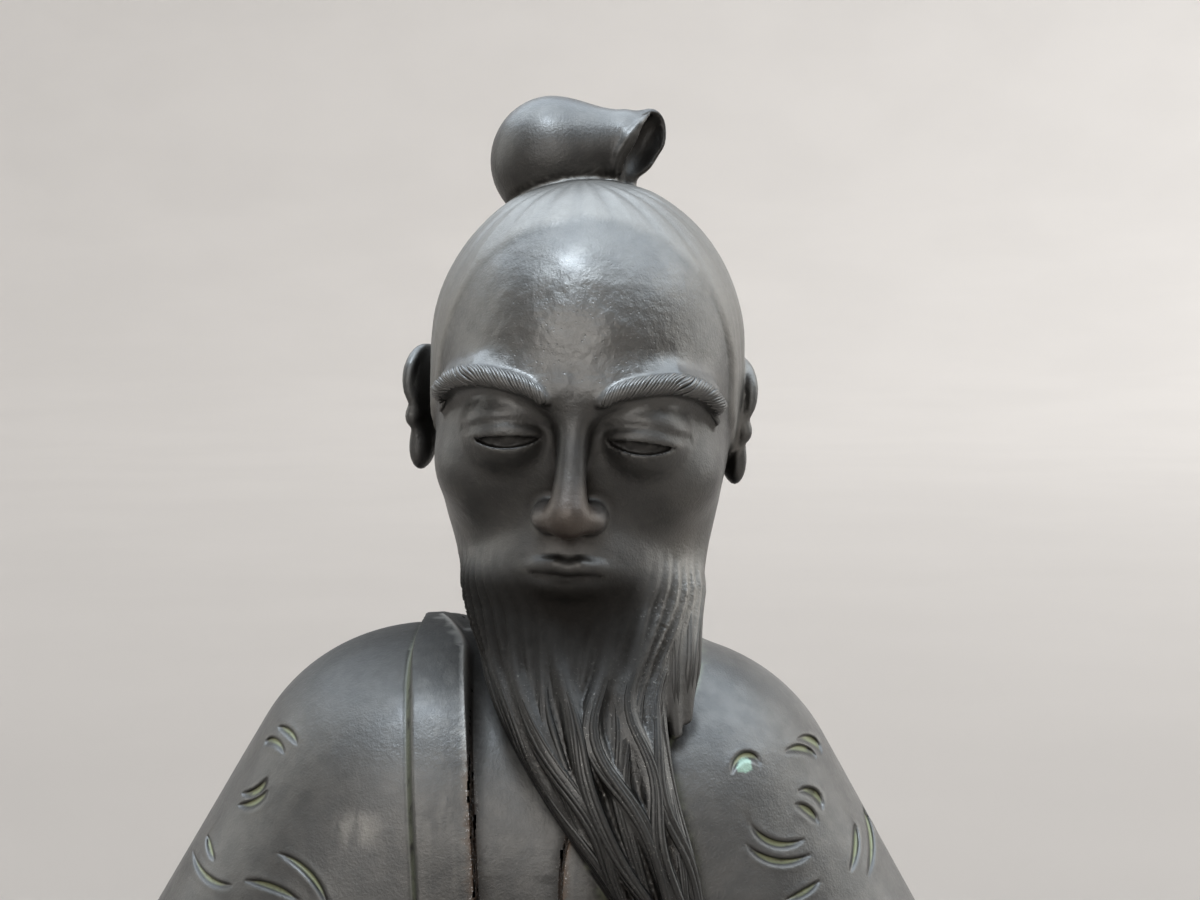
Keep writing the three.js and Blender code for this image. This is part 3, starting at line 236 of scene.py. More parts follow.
# Painted shadow between the lapels: where it starts, how far in it reaches, and how much at the least
GAP_SHADOW = {"edge": (0.0, -0.3), "floor": -1.4, "deeper": 1.6, "full": -0.4, "least": 0.5}
GROOVE_WIDTH = 0.3
NOSE_MARK = 3.0
# Soft ovals on the head: the forehead, paler with a painted highlight, and painted shade round the eyes, nose
# and mouth
HEAD_MARKS = {
    "forehead": ((0, -15, 9), (13, 11, 9)),
    "sooty": ((0, -13, -3.5), (14, 10, 8)),
}
# Painted shade inside the topknot's open end
KNOT_MOUTH_SHADE = {"inside": (0.9, 0.1), "above": 84}
# Painted shade on the topknot where it faces down or sideways
KNOT_SIDE_SHADE = {"facing": (0.7, -0.2), "z": (84, 86), "off_scalp": 0.8}
# Where the combed hair lies, which takes a warmer patina and a painted reflection
HAIR_MARK = {"least": 0.02, "above": 50, "off_face": (2.0, 1.0)}
SEAM = {"width": 0.9, "skin": 0.3, "far": 9, "below": 50}
# Painted shade on the top of the beard, under the chin
BEARD_TOP_SHADE = {"rise": (28, 42), "fall": (49, 45), "x": (13.5, 9.5)}
# Painted highlight on the right side lock
LOCK_HIGHLIGHT = (16, 47, 2.2, 9)
SPOTS = {"mint": (21.8, 26.4, 0.9, 0.75), "worn": (-18.6, 20.4, 2.7, 2.0)}

# Steps to feel for a field's slope, and the numbers that fields are worked out in

PROBE = 0.05
MARK_PROBE = 0.1
REAL = np.float32


def smooth_min(a, b, k):
    h = np.clip(0.5 + 0.5 * (b - a) / k, 0, 1)
    return b + (a - b) * h - k * h * (1 - h)


def smooth_max(a, b, k):
    return -smooth_min(-a, -b, k)


def ramp(low, high, x):
    t = np.clip((x - low) / (high - low), 0, 1)
    return t * t * (3 - 2 * t)


def hump(x, width):
    return np.exp(-((x / width) ** 2))


def ripple(turn):
    """A wave between 0 and 1."""
    return 0.5 + 0.5 * np.cos(turn)


def column(v):
    return np.array(v, REAL)[:, None]


def length(v):
    return np.sqrt((v * v).sum(0))


def ellipsoid(p, shape):
    at, radii = shape
    q = (p - column(at)) / column(radii)
    scaled = length(q)
    return scaled * (scaled - 1) / np.maximum(length(q / column(radii)), 1e-6)


def bar(p, shape):
    """Distance to a bent bar of round section through the points, with a radius at each."""
    points, radii = shape
    nearest = None
    for a, b, ra, rb in zip(points, points[1:], radii, radii[1:]):
        along = np.array(b, REAL) - np.array(a, REAL)
        from_a = p - column(a)
        t = np.clip((along @ from_a) / float(along @ along), 0, 1)
        d = length(from_a - along[:, None] * t) - (ra + (rb - ra) * t)
        nearest = d if nearest is None else np.minimum(nearest, d)
    return nearest


def curve(x, xs, ys):
    """Smooth curve through the knots, level beyond the ends."""
    xs, ys = np.asarray(xs, float), np.asarray(ys, float)
    slope = np.gradient(ys, xs)
    x = np.clip(x, xs[0], xs[-1])
    i = np.clip(np.searchsorted(xs, x) - 1, 0, len(xs) - 2)
    h = xs[i + 1] - xs[i]
    t = (x - xs[i]) / h
    u = 1 - t
    y = u * u * (1 + 2 * t) * ys[i] + t * u * u * h * slope[i]
    return (y + t * t * (3 - 2 * t) * ys[i + 1] - t * t * u * h * slope[i + 1]).astype(REAL)


def smooth_bar(points, steps, radii):
    """A bar along the smooth curve through a few points."""
    points = np.array(points, float)
    along = np.concatenate([[0], np.cumsum(np.linalg.norm(np.diff(points, axis=0), axis=1))])
    at = np.linspace(0, along[-1], steps)
    made = np.stack([curve(at, along, points[:, axis]) for axis in range(3)], 1)
    return made, np.interp(np.linspace(0, 1, steps), *radii)


def rotation(x, y, z):
    cx, cy, cz = (math.cos(math.radians(a)) for a in (x, y, z))
    sx, sy, sz = (math.sin(math.radians(a)) for a in (x, y, z))
    about_x = np.array([[1, 0, 0], [0, cx, -sx], [0, sx, cx]])
    about_y = np.array([[cy, 0, sy], [0, 1, 0], [-sy, 0, cy]])
    about_z = np.array([[cz, -sz, 0], [sz, cz, 0], [0, 0, 1]])
    return (about_z @ about_y @ about_x).astype(REAL)


def gradient(field, p, e):
    f = field(p)
    axes = np.eye(3, dtype=REAL) * e
    return f, np.array([field(p + axes[:, axis:axis + 1]) - f for axis in range(3)]) / e


def settle(field, points, rounds=5):
    """Points slid along the slope of a field until they lie on its surface."""
    p = np.array(points, REAL).T
    for _ in range(rounds):
        f, slope = gradient(field, p, PROBE)
        p = (p - f * slope / np.maximum((slope * slope).sum(0), 0.1)).astype(REAL)
    return p.T


HEAD_TURN = rotation(*HEAD_TILT)
EAR_TURN = rotation(*EAR_TILT)
FLARE_TURN = rotation(*FLARE_TILT)


def into(p, at, turn):
    return turn.T @ (p - column(at))


helix = smooth_bar(HELIX, CURVE_STEPS["helix"], HELIX_RADII)
inner_rim = smooth_bar(INNER_RIM, CURVE_STEPS["inner_rim"], INNER_RIM_RADII)
bridge = smooth_bar(BRIDGE, CURVE_STEPS["bridge"], BRIDGE_RADII)
side_locks = [smooth_bar(points, CURVE_STEPS["side_lock"], SIDE_RADII) for points in SIDE_LOCKS]


def ear(m):
    q = into(m, EAR_AT, EAR_TURN)
    f = smooth_min(ellipsoid(q, EAR_PLATE), ellipsoid(q, EAR_LOBE), BLEND["lobe"])
    f = smooth_min(f, bar(q, helix), BLEND["helix"])
    f = smooth_max(f, -ellipsoid(q, EAR_HOLLOW), BLEND["ear_hollow"])
    f = smooth_min(f, bar(q, inner_rim), BLEND["inner_rim"])
    return smooth_min(f, ellipsoid(q, EAR_FLAP), BLEND["flap"])


def eye(m):
    """Eyeball behind two lids that stand a little proud of it, with a crease over the upper one."""
    q = m - column(EYE["at"])
    x, y, z = q
    reach = length(q)
    level = z + EYE["slant"] * x
    bow = 1 - (x / EYE["half"]) ** 2
    slit = np.maximum(level - (EYE["upper"] * bow - EYE["drop"]), -EYE["lower"] * bow - EYE["drop"] - level)
    arch = EYE_CREASE["rise"] * (1 - (x / EYE_CREASE["half"]) ** 2)
    crease = EYE_CREASE["depth"] * hump(level - arch, EYE_CREASE["width"])
    lids = reach - EYE["lid"]
    front = smooth_max(lids + crease, -slit, BLEND["lid"])
    return np.minimum(reach - EYE["ball"], np.where(y < 0, front, lids))


def nose(m):
    f = smooth_min(bar(m, bridge), ellipsoid(m, NOSE_TIP), BLEND["tip"])
    f = smooth_min(f, ellipsoid(m, NOSE_WING), BLEND["wing"])
    return smooth_max(f, -ellipsoid(m, NOSTRIL), BLEND["nostril"])


def mirrored(q):
    return np.stack([np.abs(q[0]), q[1], q[2]])


def face_base(q):
    """The head without its hair and features."""
    m = mirrored(q)
    f = smooth_min(ellipsoid(q, SKULL), ellipsoid(q, JAW), BLEND["jaw"])
    f = smooth_min(f, ellipsoid(q, CHIN), BLEND["chin"])
    f = smooth_min(f, ellipsoid(m, CHEEK), BLEND["cheek"])
    f = smooth_max(f, -ellipsoid(m, SOCKET), BLEND["socket"])
    return smooth_min(f, bar(m, BROW_BONE), BLEND["brow_bone"])


brow = smooth_bar(BROW, CURVE_STEPS["brow"], BROW_RADII)
brow = (settle(face_base, brow[0]) + np.array(BROW_OUT), brow[1])


def hair(q):
    """How far the hair stands above the scalp, combed in locks that meet at the knot."""
    peak = HAIR_FRONT["peak"] * np.exp(-np.abs(q[0]) / HAIR_FRONT["peak_width"])
    front = HAIR_FRONT["radius"] + peak - length(q - column(HAIR_FRONT["at"]))
    nape = (q[1] - HAIR_NAPE["y"]) * HAIR_NAPE["lean"] + (q[2] - HAIR_NAPE["z"])
    depth = -smooth_max(front, -nape / HAIR_NAPE["scale"], BLEND["hair"])
    x, y = q[0] - HAIR_ROOT["at"][0], q[1] - HAIR_ROOT["at"][1]
    turn = np.arctan2(x, y)
    far = np.sqrt(x * x + y * y)
    sway = HAIR_COMB["sway"] * np.sin(HAIR_COMB["sways"] * turn)
    broad = ripple(HAIR_COMB["locks"] * turn + sway + HAIR_COMB["phase"])
    sway = HAIR_FINE["sway"] * np.sin(HAIR_FINE["sways"] * turn)
    rise = HAIR_FINE["rise"] * np.sin(HAIR_FINE["rate"] * q[2])
    fine = ripple(HAIR_FINE["strands"] * turn + sway + rise)
    gathered = hump(far - HAIR_ROOT["radius"], HAIR_ROOT["width"])
    comb = (HAIR_COMB["relief"] + HAIR_ROOT["relief"] * gathered) * broad
    comb = comb + HAIR_FINE["relief"] * fine * ramp(*HAIR_FINE["far"], far)
    crown = ramp(HAIR_EDGE["from"], HAIR_EDGE["to"], q[2])
    edge = ramp(0, HAIR_EDGE["side"] + HAIR_EDGE["crown"] * crown, depth)
    return edge * (HAIR_RAISE + comb) * (1 - HAIR_EDGE["less"] * crown)


def head(p):
    q = into(p, HEAD_MIDDLE, HEAD_TURN)
    m = mirrored(q)
    f = face_base(q)
    f = smooth_min(f, eye(m), BLEND["eye"])
    f = smooth_min(f, nose(m), BLEND["nose"])
    f = smooth_min(f, ellipsoid(m, MUZZLE), BLEND["muzzle"])
    f = smooth_min(f, np.minimum(bar(m, UPPER_LIP), bar(m, LOWER_LIP)), BLEND["lip"])
    f = smooth_max(f, -bar(m, LIP_LINE), BLEND["lip_line"])
    f = smooth_max(f, -bar(m, LIP_HOLLOW), BLEND["lip_hollow"])
    f = f - hair(q)
    f = smooth_min(f, ear(mirrored(q + column((EAR_SHIFT, 0, 0)))), BLEND["ear"])
    return smooth_min(f, bar(m, brow), BLEND["brow"])


def beyond(q, plane):
    """Distance past a plane given by a point and its normal."""
    return ((q - column(plane[0])) * column(plane[1])).sum(0)


def topknot(p):
    q = into(p, FLARE_AT, FLARE_TURN)
    flare = smooth_max(ellipsoid(q, FLARE), beyond(p, FLARE_UNDER), BLEND["under"])
    f = smooth_min(ellipsoid(p, KNOT), bar(p, TUFT), BLEND["knot"])
    f = smooth_min(smooth_min(f, flare, BLEND["flare"]), bar(p, FLARE_FLAP), BLEND["flare_flap"])
    f = smooth_min(f, bar(p, FLARE_RIM), BLEND["mouth"])
    f = smooth_max(f, -ellipsoid(q, FLARE_HOLLOW), BLEND["mouth"])
    f = smooth_max(f, -bar(p, FLARE_SLOT), BLEND["mouth"])
    return smooth_min(f, bar(p, KNOT_STEM), BLEND["stem"])


def body(p):
    arms = smooth_min(bar(p, LEFT_ARM), bar(p, RIGHT_ARM), BLEND["arms"])
    return smooth_min(smooth_min(arms, ellipsoid(p, CHEST), BLEND["arms"]), bar(p, NECK), BLEND["neck"])


def neckline(p):
    """Distance outside the neckline, along the robe."""
    x, y, z = p
    left = curve(z, *SLIT_LEFT) - x
    right = x - curve(z, *SLIT_RIGHT)
    slit = smooth_max(smooth_max(left, right, BLEND["slit"]), y - SLIT_BACK, BLEND["slit"])
    around = np.sqrt((x - RING["x"]) ** 2 + (y - RING["y"]) ** 2)
    ring = (around - RING["radius"] - (z - RING["z"])) * math.sqrt(0.5)
    return smooth_min(slit, ring, BLEND["ring"])


def engraving(p):
    """The crescents cut in the sleeves and the soft lip raised on both sides of each, from 0 to 1."""
    x, y, z = p
    cut = np.zeros_like(x)
    lip = np.zeros_like(x)
    for cx, cz, radius, middle, sweep in CRESCENTS:
        clear = radius + CRESCENT["clear"]
        shown = (y < 0) | (radius > BACK_CRESCENT_SIZE)
        near = np.nonzero(shown & (np.abs(x - cx) < clear) & (np.abs(z - cz) < clear))[0]
        if len(near) == 0:
            continue
        dx, dz = x[near] - cx, z[near] - cz
        off = np.sqrt(dx * dx + dz * dz) - radius
        turn = (np.degrees(np.arctan2(dz, dx)) - middle + 180) % 360 - 180
        taper = np.clip(1 - (2 * turn / sweep) ** 2, 0, 1) ** CRESCENT["fade"]
        width = CRESCENT["width"] + CRESCENT["more"] * taper
        cut[near] = np.maximum(cut[near], taper * hump(off, width))
        beside = hump(np.abs(off) - CRESCENT["lip_out"], CRESCENT["lip_width"])
        lip[near] = np.maximum(lip[near], taper * beside)
    return cut, lip


def collar_width(y):
    return COLLAR["front"] + (COLLAR["back"] - COLLAR["front"]) * ramp(COLLAR["from"], COLLAR["to"], y)


def robe(p):
    base = body(p)
    out = base.copy()
    near = np.abs(base) < ROBE_REACH
    q = p[:, near]
    x, y, z = q
    v = neckline(q)
    width = collar_width(y)
    shown = 1 - ramp(*COLLAR_FADE["x"], x) * ramp(*COLLAR_FADE["y"], y)
    high = ramp(EDGE_SOFT["from"], EDGE_SOFT["to"], z)
    soft = EDGE_SOFT["low"] + (EDGE_SOFT["high"] - EDGE_SOFT["low"]) * high
    outside = ramp(-1, 1, v / soft)
    band = ramp(-1, 1, (width - v) / EDGE_SOFT["high"])
    groove = hump(v - width - COLLAR_GROOVE["out"], COLLAR_GROOVE["width"])
    hang = np.sqrt((x - FOLD["x"]) ** 2 + (FOLD["squash"] * (z - FOLD["z"])) ** 2)
    fold = ramp(*FOLD["behind"], y) * ramp(*FOLD["outside"], v) * ripple(FOLD["rate"] * hang)
    cut, lip = engraving(q)
    edges = COLLAR["sink"] * (1 - outside) - COLLAR["raise"] * outside * band * shown
    folds = COLLAR_GROOVE["depth"] * groove * shown - FOLD["depth"] * fold
    out[near] = base[near] + edges + folds + CRESCENT["depth"] * cut - CRESCENT["lip"] * lip
    return out


def beard_at(z):
    return [curve(z, BEARD_Z, row) for row in (BEARD_X, BEARD_Y, BEARD_HALF, BEARD_THICK)]


def beard_lock(index):
    """One lock of the beard, from the jaw down past the cut: its points and radii."""
    share = (index + 0.5) / LOCK["count"]
    start = LOCK["top"] - LOCK["dip"] * (1 - (2 * share - 1) ** 2)
    z = np.linspace(start, LOCK["end"], LOCK["steps"])
    low = 1 - ramp(LOCK_SWING["from"], LOCK_SWING["to"], z)
    swing = LOCK_SWING["size"] + LOCK_SWING["more"] * low
    wave = swing * np.sin(z * LOCK_SWING["rate"] + LOCK_SWING["step"] * index)
    wave = wave + LOCK_TREMOR["size"] * np.sin(z * LOCK_TREMOR["rate"] + LOCK_TREMOR["step"] * index)
    turn = (share - 0.5) * math.radians(LOCK["spread"]) + wave
    x, y, half, thick = beard_at(z)
    full = half / LOCK_FULL["half"]
    radius = LOCK["radius"] * np.interp(np.linspace(0, 1, LOCK["steps"]), *LOCK_TAPER)
    radius = radius * np.clip(full, LOCK_FULL["least"], 1)
    lift = (-LOCK_LIFT["size"] if index % 2 else LOCK_LIFT["size"]) * np.clip(full, LOCK_LIFT["least"], 1)
    lift = lift * (1 - ramp(LOCK_LIFT["from"], LOCK_LIFT["to"], z))
    dive = LOCK_DIVE["depth"] * ramp(LOCK_DIVE["from"], LOCK_DIVE["to"], z)
    out = lift - LOCK["inset"] * radius - dive
    out_x = (half + out) * np.sin(turn)
    out_y = -(thick + out) * np.cos(turn)
    return np.stack([x + out_x, y + out_y, z], 1), radius


beard_locks = [beard_lock(index) for index in range(LOCK["count"])]


def joined(p, bars, soft):
    """Distance to several bars that run softly into each other."""
    nearest = None
    for one in bars:
        d = bar(p, one)
        nearest = d if nearest is None else smooth_min(nearest, d, soft)
    return nearest


def beard(p):
    x, y, half, thick = beard_at(p[2])
    u, v = (p[0] - x) / half, (p[1] - y) / thick
    filled = CORE["fill"] * ramp(CORE["from"], CORE["to"], p[2])
    f = (np.sqrt(u * u + v * v) - 1) * np.minimum(half, thick) * CORE["scale"] + CORE["inset"] - filled
    sway = CORE_RIPPLE["sway"] * np.sin(CORE_RIPPLE["rate"] * p[2])
    comb = CORE_RIPPLE["depth"] * np.cos(CORE_RIPPLE["count"] * np.arctan2(u, -v) + sway)
    f = f + comb * ramp(CORE_RIPPLE["from"], CORE_RIPPLE["to"], p[2])
    f = smooth_max(f, p[2] - CORE["top"], BLEND["core_top"])
    f = smooth_min(f, bar(p, BEARD_BACK), BLEND["core"])
    root = ROOTS["locks"] * ramp(ROOTS["locks_from"], ROOTS["locks_to"], p[2])
    return smooth_min(f, joined(p, beard_locks, BLEND["lock"]), BLEND["locks"] + root)


def side_lock(p):
    return smooth_min(joined(p, side_locks, BLEND["side"]), bar(p, SIDE_BACK), BLEND["side_back"])


def form(p):
    """The whole figure, before it is cut flat below."""
    f = robe(p)
    high = p[2] > HEAD_ABOVE
    if high.any():
        soft = BLEND["head"] + NAPE["soft"] * ramp(NAPE["from"], NAPE["to"], p[1, high])
        f[high] = smooth_min(f[high], head(p[:, high]), soft)
    top = p[2] > KNOT_ABOVE
    if top.any():
        f[top] = smooth_min(f[top], topknot(p[:, top]), BLEND["topknot"])
    fore = (p[1] < BEARD_BEFORE) & (p[2] < BEARD_BELOW)
    if fore.any():
        q = p[:, fore]
        hairy = smooth_min(beard(q), side_lock(q), BLEND["beard"])
        root = ROOTS["face"] * ramp(ROOTS["face_from"], ROOTS["face_to"], q[2])
        f[fore] = smooth_min(f[fore], hairy, BLEND["hair_and_robe"] + root)
    return f


def bust(p):
    """The figure, cut flat below."""
    return smooth_max(form(p), -p[2], BLEND["cut"])


# The surface of a distance field as a mesh

CORNERS = [(x, y, z) for x in (0, 1) for y in (0, 1) for z in (0, 1)]
BAND = {"coarse": 2.1, "fine": 3.0}
LEAST_SLOPE = 0.2
CORES = 4


def sampled(field, points, chunk=60000):
    """The field at many points, worked out on all the processor's cores."""
    parts = [points[:, i:i + chunk].astype(REAL) for i in range(0, points.shape[1], chunk)]
    with ThreadPoolExecutor(CORES) as pool:
        return np.concatenate(list(pool.map(field, parts)))


def narrow_band(field, low, high, size, halvings):
    """Cells of the finest grid that lie near the surface, found by halving coarser ones."""
    step = size * 2 ** halvings
    cells = np.ones(np.ceil((high - low) / step).astype(int), bool)
    for level in range(halvings + 1):
        ijk = np.array(np.nonzero(cells))
        f = sampled(field, low[:, None] + (ijk + 0.5) * step)
        ijk = ijk[:, np.abs(f) < step * BAND["coarse" if level < halvings else "fine"]]
        if level < halvings:
            cells = np.zeros(np.array(cells.shape) * 2, bool)
            for corner in CORNERS:
                cells[tuple(ijk * 2 + np.array(corner)[:, None])] = True
            step /= 2
        else:
            cells = np.zeros(cells.shape, bool)
            cells[tuple(ijk)] = True
    return cells


def surface(field, low, high, size, halvings=3):
    """Vertices and four-sided faces of the field's surface."""
    low, high = np.array(low, float), np.array(high, float)
    cells = narrow_band(field, low, high, size, halvings)
    ijk = np.array(np.nonzero(cells))
    needed = np.zeros(np.array(cells.shape) + 1, bool)
    for corner in CORNERS:
        needed[tuple(ijk + np.array(corner)[:, None])] = True
    nodes = np.array(np.nonzero(needed))
    grid = np.full(needed.shape, np.nan, REAL)
    grid[tuple(nodes)] = sampled(field, low[:, None] + nodes * size)

    values = np.array([grid[tuple(ijk + np.array(corner)[:, None])] for corner in CORNERS])
    inside = values < 0
    crossed = inside.any(0) & ~inside.all(0)
    ijk, values = ijk[:, crossed], values[:, crossed]
    total = np.zeros((3, ijk.shape[1]))
    count = np.zeros(ijk.shape[1])
    for a, first in enumerate(CORNERS):
        for b, second in enumerate(CORNERS[a + 1:], a + 1):
            apart = np.array(second) - np.array(first)
            if np.abs(apart).sum() != 1:
                continue
            cut = (values[a] < 0) != (values[b] < 0)
            t = np.where(cut, values[a] / np.where(cut, values[a] - values[b], 1), 0)
            total += np.where(cut, np.array(first)[:, None] + apart[:, None] * t, 0)
            count += cut
    points = low[:, None] + (ijk + total / count) * size

    numbered = np.full(cells.shape, -1, np.int64)
    numbered[tuple(ijk)] = np.arange(ijk.shape[1])
    faces = []
    here = grid[tuple(nodes)]
    for axis in range(3):
        ahead = nodes.copy()
        ahead[axis] += 1
        there = np.full(len(here), np.nan, REAL)
        within = ahead[axis] < grid.shape[axis]
        there[within] = grid[tuple(ahead[:, within])]
        cut = ~np.isnan(there) & ((here < 0) != (there < 0))
        ring = []
        for du, dv in ((-1, -1), (0, -1), (0, 0), (-1, 0)):
            cell = nodes[:, cut].copy()
            cell[(axis + 1) % 3] += du
            cell[(axis + 2) % 3] += dv
            ring.append(numbered[tuple(np.clip(cell, 0, np.array(cells.shape)[:, None] - 1))])
        ring = np.array(ring).T
        outward = here[cut] < 0
        ring[~outward] = ring[~outward][:, ::-1]
        faces.append(ring[(ring >= 0).all(1)])
    points = polished(field, points, size)
    return points.T, np.concatenate(faces)


def polished(field, points, size):
    """Points moved once on to the surface itself, by no more than half a cell."""
    f, slope = gradient(lambda p: sampled(field, p), points.astype(REAL), size / 4)
    move = -f * slope / np.maximum((slope * slope).sum(0), LEAST_SLOPE)
    return points + move * np.minimum(1, size / 2 / np.maximum(length(move), 1e-9))


def squared_rim(points, cell):
    """Points near the flat cut laid on it, and those of its rim moved out to the wall above."""
    p = points.T.copy()
    low = p[2] < RIM["flat"] * cell
    p[2, low] = 0
    f, slope = gradient(form, p[:, low].astype(REAL), PROBE)
    move = -f * slope[:2] / np.maximum((slope[:2] ** 2).sum(0), LEAST_SLOPE)
    rim = np.abs(f) < RIM["wide"] * cell
    p[:2, np.nonzero(low)[0][rim]] += move[:, rim]
    return p.T


# Small helpers for Blender's data

def add_object(name, mesh):
    made = bpy.data.objects.new(name, mesh)
    bpy.context.collection.objects.link(made)
    return made


def mesh_from(name, points, faces):
    mesh = bpy.data.meshes.new(name)
    mesh.from_pydata(points.tolist(), [], faces.tolist())
    mesh.update()
    return mesh


def baked(piece):
    """The piece with its modifiers turned into a plain mesh."""
    evaluated = piece.evaluated_get(bpy.context.evaluated_depsgraph_get())
    mesh = bpy.data.meshes.new_from_object(evaluated)
    name = piece.name
    old = piece.data
    bpy.data.objects.remove(piece)
    bpy.data.meshes.remove(old)
    mesh.name = name
    return add_object(name, mesh)


def vertices(mesh):
    flat = np.empty(len(mesh.vertices) * 3, REAL)
    mesh.vertices.foreach_get("co", flat)
    return flat.reshape(-1, 3).T / MM


def store(mesh, name, values):
    mesh.attributes.new(name, "FLOAT", "POINT").data.foreach_set("value", values.astype(REAL))


def shade_smooth(mesh):
    mesh.polygons.foreach_set("use_smooth", np.ones(len(mesh.polygons), bool))


def shade_above_cut(mesh):
    """Smooth shading on a mesh of triangles, but for its flat underside, so that the rim stays crisp."""
    corners = np.empty(len(mesh.loops), np.int32)
    mesh.loops.foreach_get("vertex_index", corners)
    low = (vertices(mesh)[2][corners.reshape(-1, 3)] < RIM["height"]).all(1)
    normals = np.empty(len(mesh.polygons) * 3, REAL)
    mesh.polygons.foreach_get("normal", normals)
    mesh.polygons.foreach_set("use_smooth", ~(low & (normals[2::3] < RIM["facing"])))


def finely_cut(p):
    """Where the robe has a crescent, an edge of its lapels or the rim of the cut close by."""
    cut, lip = engraving(p)
    v = neckline(p)
    past = np.abs(v - collar_width(p[1]) - COLLAR_GROOVE["out"])
    edges = (v > FINE["inside"]) & (v < FINE["outside"]) | (past < FINE["groove"])
    front = (p[1] < FINE["before"]) & (p[2] < FINE["below"])
    rim = p[2] < RIM["height"]
    engraved = (cut > FINE["cut"]) | (lip > FINE["lip"])
    return (np.abs(body(p)) < ROBE_SKIN) & (engraved | (edges & front) | rim)


def refined(mesh, cuts, cell):
    """Splits the faces at the finely cut places and lays their points on the surface."""
    made = bmesh.new()
    made.from_mesh(mesh)
    made.verts.ensure_lookup_table()
    corners = [made.verts[i] for i in np.nonzero(finely_cut(vertices(mesh)))[0]]
    edges = list({edge for corner in corners for face in corner.link_faces for edge in face.edges})
    bmesh.ops.subdivide_edges(made, edges=edges, cuts=cuts, use_grid_fill=True)
    bmesh.ops.triangulate(made, faces=made.faces[:])
    made.to_mesh(mesh)
    made.free()
    p = vertices(mesh)
    near = finely_cut(p) & (p[2] > FINE["above"])
    for _ in range(FINE["rounds"]):
        p[:, near] = polished(bust, p[:, near], cell)
    mesh.vertices.foreach_set("co", (squared_rim(p.T, cell) * MM).astype(REAL).ravel())
    mesh.update()


# Marks that the patina reads, from 0 to 1 at each point

def relief_marks(p, normal, f, steep):
    """Where the casting is hollow or ridged."""
    marks = {}
    for name, reach in HOLLOWS.items():
        out = (sampled(bust, p + normal * reach) - f) / (reach * steep)
        marks[name] = np.clip(1 - out, 0, 1)
    inner = (f - sampled(bust, p - normal * RIDGE_DEPTH)) / (RIDGE_DEPTH * steep)
    marks["ridge"] = np.clip(1 - inner, 0, 1)
    return marks


def spot(p, place):
    """A soft oval patch, as it is seen from the front."""
    x, z, half_x, half_z = place
    return np.exp(-(((p[0] - x) / half_x) ** 2) - ((p[2] - z) / half_z) ** 2)


def robe_marks(p, on_robe):
    """The crescents, the lapel's face, groove and edges, the painted shadow between the lapels, the painted
    highlight on the lapel's upper rim, and two spots.
    """
    v = neckline(p)
    past = v - collar_width(p[1])
    front = on_robe * (p[1] < 0)
    low = 1 - ramp(*LAPEL_LOW, p[2])
    high = ramp(*LAPEL_HIGH, p[2])
    shown = {name: hump(v - place, width) * front for name, (place, width) in EDGES.items()}
    shadowed_inward = ramp(*GAP_SHADOW["edge"], v) * ramp(GAP_SHADOW["floor"] - GAP_SHADOW["deeper"] * high, GAP_SHADOW["full"], v)
    marks = {
        "engraved": engraving(p)[0] * on_robe,
        "lapel": ramp(0, LAPEL_FADE, v) * ramp(LAPEL_FADE, 0, past) * front,
        "lapel_groove": hump(past - COLLAR_GROOVE["out"], GROOVE_WIDTH) * on_robe,
        "lapel_gap": shadowed_inward * front * (GAP_SHADOW["least"] + (1 - GAP_SHADOW["least"]) * high),
        "lapel_edge": shown["edge"] * (EDGE_LEAST + (1 - EDGE_LEAST) * low),
        "lapel_chips": shown["chips"] * low,
        "lapel_rim": shown["rim"] * high,
    }
    for name, place in SPOTS.items():
        marks[name] = spot(p, place) * front
    return marks


def head_marks(p, normal):
    """The worn nose, the forehead paler with a painted highlight, painted shade round the eyes and mouth, the
    combed hair with a painted reflection, and painted shade in the knot's mouth and on its lower sides.
    """
    q = into(p, HEAD_MIDDLE, HEAD_TURN)
    tip = column(HEAD_MIDDLE) + HEAD_TURN @ column(NOSE_TIP[0])
    marks = {"nose_tip": hump(length(p - tip), NOSE_MARK)}
    for name, (middle, reach) in HEAD_MARKS.items():
        marks[name] = np.exp(-(length((q - column(middle)) / column(reach)) ** 2))
    mouth = ellipsoid(into(p, FLARE_AT, FLARE_TURN), FLARE_HOLLOW)
    marks["knot_mouth"] = ramp(*KNOT_MOUTH_SHADE["inside"], mouth) * (p[2] > KNOT_MOUTH_SHADE["above"])
    off_scalp = ellipsoid(q, SKULL) > KNOT_SIDE_SHADE["off_scalp"]
    marks["knot_side"] = ramp(*KNOT_SIDE_SHADE["facing"], normal[2]) * ramp(*KNOT_SIDE_SHADE["z"], p[2]) * off_scalp
    on_head = (p[2] > HAIR_MARK["above"]) * ramp(*HAIR_MARK["off_face"], face_base(q))
    marks["hair"] = ramp(HAIR_MARK["least"], HAIR_RAISE, hair(q)) * on_head
    return marks


def beard_marks(p, on_robe):
    """The beard, its seam on the robe, the painted shade on its top under the chin and the painted highlight
    on the lock beside it.
    """
    away = np.full(p.shape[1], SEAM["far"], REAL)
    close = (p[1] < BEARD_BEFORE) & (p[2] < SEAM["below"])
    if close.any():
        away[close] = sampled(beard, p[:, close])
    top = ramp(*BEARD_TOP_SHADE["rise"], p[2]) * ramp(*BEARD_TOP_SHADE["fall"], p[2]) * ramp(*BEARD_TOP_SHADE["x"], p[0])
    return {
        "beard_seam": hump(away, SEAM["width"]) * on_robe,
        "beard_top": top,
        "bearded": hump(np.maximum(away, 0), SEAM["skin"]),
        "pale_lock": spot(p, LOCK_HIGHLIGHT) * (p[1] < BEARD_BEFORE),
    }


